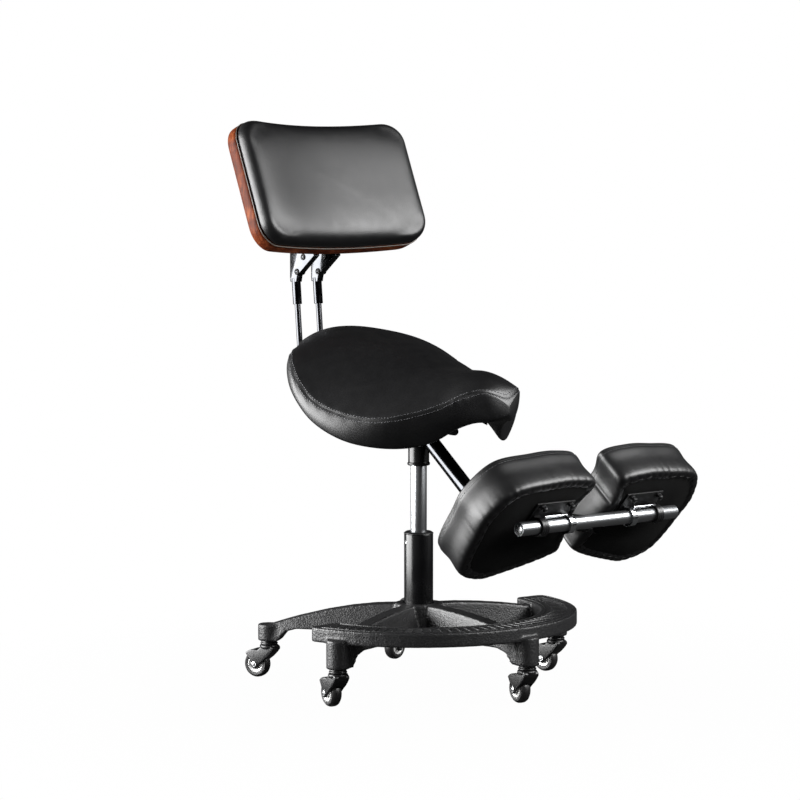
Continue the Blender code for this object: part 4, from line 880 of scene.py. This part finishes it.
# Saddle: stations from tail to nose as forward, half width, crest, drop of the wings, side band, tuck
saddle = {
    "foot": 0.4783, "slope": 0.165, "pan": 0.0203, "arch": 2.2, "bulge": 0.005, "plateHalf": 0.055,
    "rings": 96, "across": 45, "band": 9, "under": 21, "cap": 0.0030, "calm": 25, "roundFrom": 0.168,
    "rounding": 24,
    "groove": 0.0016, "grooveWidth": 0.0030, "loopFrom": 0.186, "loopTo": 0.2165, "seamSteps": 900,
    "stitch": 0.0056, "stitchLength": 0.0042, "thread": 0.00080, "rowGap": 0.0042,
    "pucker": 0.0005, "puckerPitch": 0.0112, "puckerAt": 0.006, "puckerWidth": 0.004,
    "creaseFrom": 0.105, "creaseDepth": 0.0015, "creasePitch": 0.0145, "creaseAt": 0.008,
    "creaseWidth": 0.010, "tautTo": 0.205,
    "stations": (
        (-0.240, 0.000, 0.106, 0.000, 0.020, 0.000),
        (-0.228, 0.070, 0.122, 0.018, 0.034, 0.000),
        (-0.190, 0.117, 0.130, 0.033, 0.040, -0.002),
        (-0.145, 0.168, 0.124, 0.033, 0.040, -0.003),
        (-0.100, 0.197, 0.115, 0.056, 0.039, 0.000),
        (-0.050, 0.201, 0.104, 0.083, 0.042, 0.003),
        (0.010, 0.189, 0.087, 0.089, 0.049, 0.006),
        (0.060, 0.169, 0.071, 0.081, 0.053, 0.019),
        (0.096, 0.146, 0.067, 0.074, 0.056, 0.040),
        (0.122, 0.117, 0.066, 0.064, 0.053, 0.044),
        (0.148, 0.090, 0.066, 0.052, 0.044, 0.036),
        (0.178, 0.066, 0.059, 0.026, 0.050, 0.024),
        (0.198, 0.049, 0.050, 0.011, 0.054, 0.016),
        (0.211, 0.032, 0.039, 0.004, 0.045, 0.009),
        (0.222, 0.000, 0.014, 0.000, 0.014, 0.000),
    ),
}


def readStations(table, place):  # a smooth curve through each column
    last = len(table) - 1
    i = max([k for k in range(last) if table[k][0] <= place] or [0])

    def lean(k, column):
        low, high = table[max(k - 1, 0)], table[min(k + 1, last)]
        return (high[column] - low[column]) / (high[0] - low[0])

    here, there = table[i], table[i + 1]
    span = there[0] - here[0]
    t = (place - here[0]) / span
    values = []
    for column in range(1, len(here)):
        rise = there[column] - here[column]
        start, end = lean(i, column) * span, lean(i + 1, column) * span
        square, cube = 3 * rise - 2 * start - end, start + end - 2 * rise
        values.append(here[column] + start * t + square * t * t + cube * t**3)
    return values


def hill(away, middle, width):
    return np.exp(-((away - middle) / width) ** 2)


def buildSaddle():
    s = saddle
    first, last = s["stations"][0][0], s["stations"][-1][0]
    count, band, under = s["across"], s["band"], s["under"]
    around = count + under + 2 * band
    sections = []
    for ring in range(s["rings"] + 1):
        forward = (first + last) / 2 - (last - first) / 2 * math.cos(math.pi * ring / s["rings"])
        half, crest, drop, deep, tuck = readStations(s["stations"], forward)
        half = max(half, 0)
        lower = half - min(tuck, half / 2)
        crest += s["foot"]
        seam = crest - drop
        edge = seam - deep
        middle = s["foot"] - s["slope"] * forward + s["pan"]
        middle = edge + (middle - edge) * min(1, half / (2 * s["plateHalf"]))
        sections.append((forward, half, lower, crest, seam, edge, middle))

    def point(ring, spoke):
        forward, half, lower, crest, seam, edge, middle = sections[ring]
        y = columnSpot.y - forward
        if ring in (0, s["rings"]):
            return 0, y, (seam + edge) / 2
        if spoke < count:
            share = math.sin(math.pi / 2 * (2 * spoke / (count - 1) - 1))
            return half * share, y, crest - (crest - seam) * abs(share) ** s["arch"]
        lap = spoke - count
        if lap < band or lap >= band + under:
            side = 1 if lap < band else -1
            t = (lap + 1) / (band + 1) if lap < band else 1 - (lap - band - under + 1) / (band + 1)
            puff = min(s["bulge"], half / 4) * math.sin(math.pi * t)
            return side * (half + (lower - half) * t + puff), y, seam + (edge - seam) * t
        share = 1 - 2 * (lap - band) / (under - 1)
        return share * lower, y, edge + (middle - edge) * (1 - share * share)

    piece, index = ballForm("saddleCover", around, s["rings"], point)
    forward = np.array([section[0] for section in sections])
    addModifier(piece, "SMOOTH", factor=0.5, iterations=3)
    group = piece.vertex_groups.new(name="tip")
    for ring, share in enumerate(np.clip((forward - s["roundFrom"]) / 0.03, 0, 1)):
        group.add([int(i) for i in set(index[ring])], share, "REPLACE")
    addModifier(piece, "SMOOTH", factor=0.5, iterations=s["rounding"], vertex_group="tip")
    piece.vertex_groups.clear()
    held = np.zeros(len(piece.data.vertices), bool)
    held[index[:, count + band:count + band + under].ravel()] = True
    ends = np.minimum(np.arange(len(index)), np.arange(len(index))[::-1])
    ease = np.ones((len(piece.data.vertices), 1))
    ease[index] = np.clip((ends - 5) / 14, 0, 1)[:, None, None]
    fillWithFoam(piece, index, held, s["cap"], s["calm"], ease)

    # the seam runs along both sides, over the tail, and loops across the top of the nose
    points = coordsOf(piece)[index]
    start, tip = (int(np.argmin(np.abs(forward - s[key]))) for key in ("loopFrom", "loopTo"))
    arc = start + (tip - start) * np.sin(np.pi * np.arange(count) / (count - 1)) ** 0.6
    ring, spokes = arc.astype(int), np.arange(count)
    share = (arc - ring)[:, None]
    over = points[ring, spokes] * (1 - share) + points[ring + 1, spokes] * share
    path = np.concatenate([points[start:0:-1, 0], points[:start, count - 1], over[::-1]])
    path = evenSteps(path, s["seamSteps"], closed=True)
    length = np.linalg.norm(np.roll(path, -1, axis=0) - path, axis=1).sum()
    near = KDTree(len(path))
    for i, spot in enumerate(path):
        near.insert(spot, i)
    near.balance()
    found = [near.find(spot) for spot in points.reshape(-1, 3)]
    away = np.array([hit[2] for hit in found]).reshape(index.shape)
    along = np.array([hit[1] for hit in found]).reshape(index.shape) * length / len(path)
    below = np.ones(index.shape, bool)
    below[:, :count] = np.arange(len(index))[:, None] > arc

    # a groove at the seam, puckers beside it and creases under it round the nose
    push = -s["groove"] * hill(away, 0, s["grooveWidth"])
    taut = np.clip((s["tautTo"] - forward) / 0.02, 0, 1)[:, None]
    waves = np.cos(math.tau * along / s["puckerPitch"])
    push += s["pucker"] * taut * hill(away, s["puckerAt"], s["puckerWidth"]) * waves
    window = np.clip((forward - s["creaseFrom"]) / 0.03, 0, 1)[:, None] * below * taut
    ripple = 0.9 * np.sin(along * 90)
    folds = np.sin(math.tau * along / s["creasePitch"] + ripple) * (0.6 + 0.4 * np.sin(along * 57))
    push += s["creaseDepth"] * window * folds * hill(away, s["creaseAt"], s["creaseWidth"])
    pushOut(piece, index, push * np.clip(ends / 4, 0, 1)[:, None])

    # a row of stitches on each side of the seam
    skin = BVHTree.FromPolygons(coordsOf(piece).tolist(), [list(p.vertices) for p in piece.data.polygons])
    rows = []
    for name, way in (("upper", 1), ("lower", -1)):
        places, ups = [], []
        for i, spot in enumerate(path):
            ahead = Vector(path[(i + 2) % len(path)] - path[i - 2]).normalized()
            up = skin.find_nearest(Vector(spot))[1]
            spot, up = skin.find_nearest(Vector(spot) + up.cross(ahead) * way * s["rowGap"])[:2]
            places.append(spot)
            ups.append(up)
        places, ups = np.array(places + places[:1]), np.array(ups + ups[:1])
        row = stitchRow("saddleStitch_" + name, places, ups, s["stitch"], s["stitchLength"], s["thread"])
        rows.append(row)
    refine(piece)
    dress(piece, "leather", "seat", "leather", "seat_cushion")
    for row in rows:
        dress(row, "thread", "seat", "leather")
    print("saddle built")


buildSaddle()

# Knee pads: outline outward from the middle of the bar and up from it, layers as share of outline and height
kneePad = {
    "around": 224, "held": 11, "cap": 0.0025, "calm": 70, "seam": 22, "groove": 0.0014, "grooveWidth": 0.0022,
    "seed": 7, "pleatDepth": 0.0017, "pleatWidth": 0.0030, "pleatReach": (0.004, 0.016),
    "pleatPitch": (0.012, 0.024),
    "joinAt": (0.0410, -0.008), "joinDepth": 0.0026, "joinWidth": 0.0028,
    "stitch": 0.0056, "stitchLength": 0.0040, "thread": 0.00055,
    "outline": ((0.020, -0.072), (0.042, 0.015), (0.030, 0.066), (0.080, 0.079), (0.135, 0.077),
                (0.208, 0.064), (0.238, 0.012), (0.236, -0.036), (0.221, -0.112), (0.170, -0.138),
                (0.120, -0.129), (0.026, -0.097)),
    "layers": ((0, .0215), (.30, .0215), (.60, .0215), (.79, .0214), (.828, .0212), (.846, .0198),
               (.872, .0190), (.908, .0190), (.943, .0194), (.970, .0206), (.989, .0230), (1.0, .0270),
               (1.003, .0320), (1.002, .0380), (.998, .0440), (.994, .0500), (.992, .0560), (.995, .0620),
               (1.001, .0675), (1.007, .0725), (1.011, .0768), (1.012, .0800), (1.011, .0824),
               (1.008, .0846), (1.001, .0868), (.987, .0889), (.962, .0907), (.925, .0920), (.87, .0930),
               (.79, .0937), (.68, .0941), (.54, .0944), (.36, .0945), (.18, .0946), (0, .0946)),
    "clothLayers": ((0.0, .0200), (.55, .0200), (.855, .0200), (.86, .0203), (.86, .0216),
                    (.855, .0218), (.55, .0218), (0.0, .0218)),
    "staples": 34, "stapleAt": 0.892, "stapleFoot": 0.0187, "staple": (0.0095, 0.0010, 0.0009),
    # bolts through the bracket plate, profiles as radius and height
    "boltsAt": ((0.071, -0.029), (0.132, -0.029)),
    "shaft": ((0.0010, 0.0052), (0.0036, 0.0058), (0.0047, 0.0076), (0.0047, 0.0092), (0.0022, 0.0094),
              (0.0022, 0.0170)),
    "nut": ((0.0023, 0.0118), (0.0052, 0.0118), (0.0052, 0.0152), (0.0023, 0.0152)),
    "washer": ((0.0023, 0.0153), (0.0066, 0.0154), (0.0066, 0.0166), (0.0023, 0.0166)),
    "tieRod": ((0.0012, 0.076), (0.0021, 0.0768), (0.0021, 0.1262), (0.0012, 0.127)),
    "tieRodAt": (0, -0.0148, 0.0062),
}


def buildPads():
    k = kneePad
    outline = closedSpline([(x, -y) for x, y in k["outline"]], k["around"])
    middle = outline.mean(axis=0)

    def layered(name, spots, layers):
        def point(ring, spoke):
            share, height = layers[ring]
            return (*(middle + (spots[spoke] - middle) * share), height)
        return ballForm(name, len(spots), len(layers) - 1, point)

    cover, index = layered("padCover", outline, k["layers"])
    held = np.zeros(len(cover.data.vertices), bool)
    held[index[:k["held"]].ravel()] = True
    fillWithFoam(cover, index, held, k["cap"], k["calm"])

    # gathers where the cover is drawn over the back edge, seam grooves near the front and down the inner side
    rng = random.Random(k["seed"])
    step = np.linalg.norm(np.roll(outline, -1, axis=0) - outline, axis=1)
    run = np.concatenate([[0], np.cumsum(step)[:-1]])
    length = step.sum()

    def beside(place):  # the way round the outline from a place on it
        return (run - place + length / 2) % length - length / 2

    folds, place = [], 0.0
    while place < length - 0.010:
        folds.append((place, rng.uniform(0.45, 1.0), rng.uniform(*k["pleatReach"])))
        place += rng.uniform(*k["pleatPitch"])
    shares, heights = np.array(k["layers"]).T
    wide, back, front = k["pleatWidth"], heights[0], heights[k["seam"]]
    push = np.zeros(index.shape)
    for at, depth, reach in folds:
        crease = hill(beside(at), 0, wide) - 0.45 * hill(beside(at), 0, 2.4 * wide)
        climb = np.exp(-np.clip(heights - back, 0, None) / reach) * np.clip((shares - 0.80) / 0.05, 0, 1)
        climb *= np.clip((0.066 - heights) / 0.015, 0, 1)
        push -= k["pleatDepth"] * depth * climb[:, None] * crease[None, :]
    outer = shares > 0.97
    push -= (k["groove"] * hill(heights, front, k["grooveWidth"]) * outer)[:, None]
    inner = int(np.argmin(np.linalg.norm(outline - np.array(k["joinAt"]), axis=1)))
    band = np.clip((heights - 0.024) / 0.004, 0, 1) * np.clip((front + 0.001 - heights) / 0.003, 0, 1) * outer
    push -= k["joinDepth"] * band[:, None] * hill(beside(run[inner]), 0, k["joinWidth"])[None, :]
    pushOut(cover, index, push)

    def seamRow(rows):
        row = rows[k["seam"] - 1]
        return np.concatenate([row, row[:1]])

    path, ups = seamRow(coordsOf(cover)[index]), seamRow(normalsOf(cover)[index])
    stitches = stitchRow("padStitch", path, ups, k["stitch"], k["stitchLength"], k["thread"])
    refine(cover)

    # dust cloth inside the hem, and the staples that hold the hem
    backing, _ = layered("padCloth", outline[::2], k["clothLayers"])
    easeEdges(backing, 0)
    freshStart()
    bpy.ops.mesh.primitive_cube_add(size=1)
    staple = bpy.context.object
    staple.data.transform(Matrix.Diagonal((*k["staple"], 1)))
    easeEdges(staple, 0.0003)
    parts = []
    around = evenSteps(np.concatenate([outline, outline[:1]]), k["staples"], closed=True)
    for i, spot in enumerate(around):
        ahead = around[(i + 1) % len(around)] - around[i - 1]
        turn = math.atan2(ahead[1], ahead[0]) + rng.uniform(-0.35, 0.35)
        x, y = middle + (spot - middle) * (k["stapleAt"] + rng.uniform(-0.008, 0.008))
        place = Matrix.Translation((x, y, k["stapleFoot"])) @ Matrix.Rotation(turn, 4, "Z")
        parts.append(copyPiece(staple, f"staple{i}", place))
    putAway(staple)
    staples = joinPieces(*parts)

    # bolts through the bracket plate and a rod that ties strap and collar together
    bolts = []
    for x, y in k["boltsAt"]:
        place = Matrix.Translation((x, y, 0))
        bolts.append(turnedPart("bolt", k["shaft"], 24, 0.0003, place))
        bolts.append(turnedPart("boltNut", k["nut"], 6, 0.0003, place, hollow=True))
        bolts.append(turnedPart("boltWasher", k["washer"], 28, 0.0003, place, hollow=True))
    bolts = joinPieces(*bolts)
    place = Matrix.Translation(k["tieRodAt"]) @ Matrix.Rotation(math.pi / 2, 4, "Y")
    rod = turnedPart("tieRod", k["tieRod"], 20, 0.0003, place)

    for name, side in sides:
        place = padPlace if side > 0 else padPlace @ Matrix.Diagonal((-1, 1, 1, 1))
        body = "knee_pad_" + name
        made = copyPiece(cover, "padCover_" + name, place)
        dress(made, "leather", body, "leather", "pad_cushion_" + name)
        dress(copyPiece(backing, "padBacking_" + name, place), "cloth", body, "board", "pad_board_" + name)
        dress(copyPiece(stitches, "padStitch_" + name, place), "thread", body, "leather")
        dress(copyPiece(staples, "padStaples_" + name, place), "blackSteel", body, "steel")
        dress(copyPiece(bolts, "padBolts_" + name, place), "blackSteel", body, "steel")
        dress(copyPiece(rod, "padTieRod_" + name, place), "chrome", body, "chrome")
        plate = easeEdges(cleanCopy("pad_bracket_" + name, "padPlate_" + name), 0.0009)
        dress(plate, "blackSteel", body, "black_steel", "pad_bracket_" + name)
        strap = easeEdges(cleanCopy("pad_strap_" + name, "padStrap_" + name), 0.0018, 4, 40)
        dress(strap, "chrome", body, "chrome", "pad_strap_" + name)
        collar = easeEdges(cleanCopy("pad_collar_" + name, "padCollar_" + name), 0.0004, 2, 40)
        dress(collar, "moulded", body, "black_plastic", "pad_collar_" + name)
    putAway(cover, backing, stitches, staples, bolts, rod)
    print("knee pads built")


buildPads()

# Backrest in its own frame: X across, Y up its face, Z out of its front, curved about the sitter's back
backrest = {
    "behind": 0.284, "height": 0.840, "recline": 22, "width": 0.378, "tall": 0.230, "corner": 0.040,
    "curve": 0.650, "shell": 0.030, "cushion": 0.038, "gap": 0.0003, "around": 176, "held": 5,
    "cap": 0.0030, "calm": 260, "piping": 0.0011, "pipingShare": 0.9935, "domeFrom": 10, "domeBlend": 4,
    "shellLayers": ((0, 0), (.35, 0), (.65, 0), (.85, 0), (.94, .005), (.972, .03), (.988, .09),
                    (.996, .18), (1, .32), (1, .50), (1, .68), (.996, .82), (.988, .92), (.972, .98),
                    (.94, 1), (.6, 1), (0, 1)),
    "cushionLayers": ((0, 0), (.5, 0), (.8, 0), (.94, 0), (.976, .02), (.989, .08), (.992, .18),
                      (.989, .31), (.981, .43), (.968, .55), (.950, .66), (.924, .75), (.888, .825),
                      (.842, .88), (.785, .922), (.715, .953), (.63, .974), (.53, .987), (.41, .995),
                      (.28, .998), (.14, 1), (0, 1)),
}
backRod = {"radius": 0.0052, "half": 0.0245, "rear": 0.048, "rise": 0.033, "depth": 0.025, "climb": 12.6,
           "bend": 0.050, "behind": 0.298, "top": 0.278, "lean": 5}
eyelets = {"spots": ((0.2875, 0.704), (0.2700, 0.7305)), "ring": 0.0056, "hole": 0.0030, "proud": 0.0012,
           "foot": -0.001}


def buildCushion():
    b = backrest
    place = Matrix.Translation((0, columnSpot.y + b["behind"], b["height"]))
    place = place @ Matrix.Rotation(math.pi / 2 - math.radians(b["recline"]), 4, "X")
    halfX, halfY = b["width"] / 2 - b["corner"], b["tall"] / 2 - b["corner"]
    loop = []
    for corner, (sx, sy) in enumerate(((1, 1), (-1, 1), (-1, -1), (1, -1))):
        loop += arcPoints((sx * halfX, sy * halfY), b["corner"], corner * 90, corner * 90 + 90, 24)
    outline = evenSteps(np.array(loop + loop[:1]), b["around"], closed=True)

    # past the ring domeFrom the corners have no hips
    def layered(name, foot, thick, layers, domeFrom=len(b["cushionLayers"])):
        face = np.array(layers[domeFrom:][::-1])

        def point(ring, spoke):
            share, level = layers[ring]
            x, y = outline[spoke] * share
            if ring > domeFrom:
                evenShare = ((2 * x / b["width"]) ** 4 + (2 * y / b["tall"]) ** 4) ** 0.25
                blend = min(1, (ring - domeFrom) / b["domeBlend"])
                level += (np.interp(evenShare, face[:, 0], face[:, 1]) - level) * blend
            return x, y, foot + thick * level + x * x / (2 * b["curve"])
        return ballForm(name, b["around"], len(layers) - 1, point)

    shell, _ = layered("backShell", 0.0, b["shell"], b["shellLayers"])
    shell.data.transform(place)
    refine(shell)
    dress(shell, "wood", "seat", "rosewood", "back_shell")
    foot = b["shell"] + b["gap"]
    cover, index = layered("backCover", foot, b["cushion"], b["cushionLayers"], b["domeFrom"])
    held = np.zeros(len(cover.data.vertices), bool)
    held[index[:b["held"]].ravel()] = True
    fillWithFoam(cover, index, held, b["cap"], b["calm"])
    cover.data.transform(place)
    refine(cover)
    dress(cover, "leather", "seat", "leather", "back_cushion")

    # piping cord laid in the joint of shell and cushion
    freshStart()
    bpy.ops.curve.primitive_bezier_circle_add(radius=1)
    cord = bpy.context.object
    cord.name = "backPiping"
    data = cord.data
    data.dimensions = "3D"
    data.splines.clear()
    spline = data.splines.new("POLY")
    spline.points.add(len(outline) - 1)
    for spot, (x, y) in zip(spline.points, outline * b["pipingShare"]):
        spot.co = (x, y, foot + x * x / (2 * b["curve"]), 1)
    spline.use_cyclic_u = True
    data.bevel_depth = b["piping"]
    data.bevel_resolution = 2
    bpy.ops.object.convert(target="MESH")
    cord.data.transform(place)
    faceOutwards(cord)
    dress(shadeSmooth(cord), "piping", "seat", "leather")


def buildBackrest():
    buildCushion()

    # rods and brackets
    r, e = backRod, eyelets
    climb, end = math.radians(r["climb"]), math.radians(90 - r["lean"])
    hole, ring, proud, foot = e["hole"], e["ring"], e["proud"], e["foot"]
    ringProfile = [(hole, foot), (hole, proud * 0.8), (ring * 0.78, proud), (ring, proud * 0.3), (ring, foot)]
    domeProfile = [(0.0004, proud * 1.1), (hole * 0.6, proud * 0.95), (hole * 0.96, proud * 0.4),
                   (hole * 0.96, foot)]
    for name, side in sides:
        start = Vector((side * r["half"], columnSpot.y + r["rear"] - r["depth"] * math.cos(climb),
                        housingFoot + r["rise"] - r["depth"] * math.sin(climb)))
        reach = columnSpot.y + r["behind"] - start.y - r["bend"] * (math.sin(end) - math.sin(climb))
        rise = housingFoot + r["top"] - start.z - r["bend"] * (math.cos(climb) - math.cos(end))
        slant = (reach * math.sin(end) - rise * math.cos(end)) / math.sin(end - climb)
        upright = (rise * math.cos(climb) - reach * math.sin(climb)) / math.sin(end - climb)
        steps = [("run", slant), ("bend", r["bend"], end - climb), ("run", upright)]
        rod = bendTube("backRod_" + name, r["radius"], 32, start, climb, steps)
        dress(rod, "blackChrome", "seat", "chrome", "back_rod_" + name)
        bracket = easeEdges(cleanCopy("back_bracket_" + name, "backBracket_" + name), 0.0014, 3)
        dress(bracket, "blackChrome", "seat", "chrome", "back_bracket_" + name)
        low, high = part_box("back_bracket_" + name)
        rings, domes = [], []
        for behind, tall in e["spots"]:
            for x, out in ((low.x, -1), (high.x, 1)):
                hub = Matrix.Translation((x, columnSpot.y + behind, tall))
                hub = hub @ Matrix.Rotation(out * math.pi / 2, 4, "Y")
                rings.append(turnedPart("eyelet", ringProfile, 28, 0.0002, hub, hollow=True))
                domes.append(turnedPart("dome", domeProfile, 24, 0.0002, hub))
        for label, parts, finish, slot in (("bracketEyelets_", rings, "blackSteel", "black_steel"),
                                           ("bracketRivets_", domes, "blackChrome", "steel")):
            made = joinPieces(*parts)
            made.name = label + name
            dress(made, finish, "seat", slot)
    print("backrest built")


buildBackrest()

# Pressed parts under the saddle keep their CAD shape with eased edges
underSeat = {"seat_housing": ("seatHousing", 0.0010, "blackSteel", "black_steel"),
             "seat_plate": ("seatPlate", 0.0009, "blackSteel", "black_steel"),
             "seat_pan": ("seatPan", 0.0012, "cloth", "board"),
             "release_lever": ("releaseLever", 0.0006, "blackSteel", "black_steel")}
hiddenParts = {"thrust_bearing": "zinc", "rod_clip": "zinc", "piston_rod": "zinc", "valve_pin": "zinc",
               "lever_pin": "zinc", "cylinder_gland": "moulded"}
socketSleeve = {"proud": 0.0008, "lip": 0.0014, "gap": 0.0002, "mouth": 0.001}


def buildUnderSeat():
    points = coordsOf(cadNodes["seat_housing"]) - np.array((columnSpot.x, columnSpot.y, 0))
    foot = points[:, 2].min()
    inner = np.linalg.norm(points[points[:, 2] < foot + socketSleeve["mouth"], :2], axis=1).max()
    outer, lip, top = inner + socketSleeve["proud"], socketSleeve["lip"], housingFoot - socketSleeve["gap"]
    profile = [(inner, top), (outer, top), (outer, foot + 4 * lip), (outer + lip, foot + 3 * lip),
               (outer + lip, foot + lip), (outer, foot), (inner, foot)]
    sleeve = turnedPart("socketSleeve", profile, 64, 0.0004, columnAxis, 3, True)
    dress(sleeve, "paint", "seat", "black_steel")
    for node, (name, edge, finish, slot) in underSeat.items():
        piece = easeEdges(cleanCopy(node, name), edge)
        dress(piece, finish, "lever" if node == "release_lever" else "seat", slot, node)
    for node, finish in hiddenParts.items():
        cadNodes[node].data.materials.clear()
        cadNodes[node].data.materials.append(finishes[finish])
    print("parts under the saddle dressed")


buildUnderSeat()
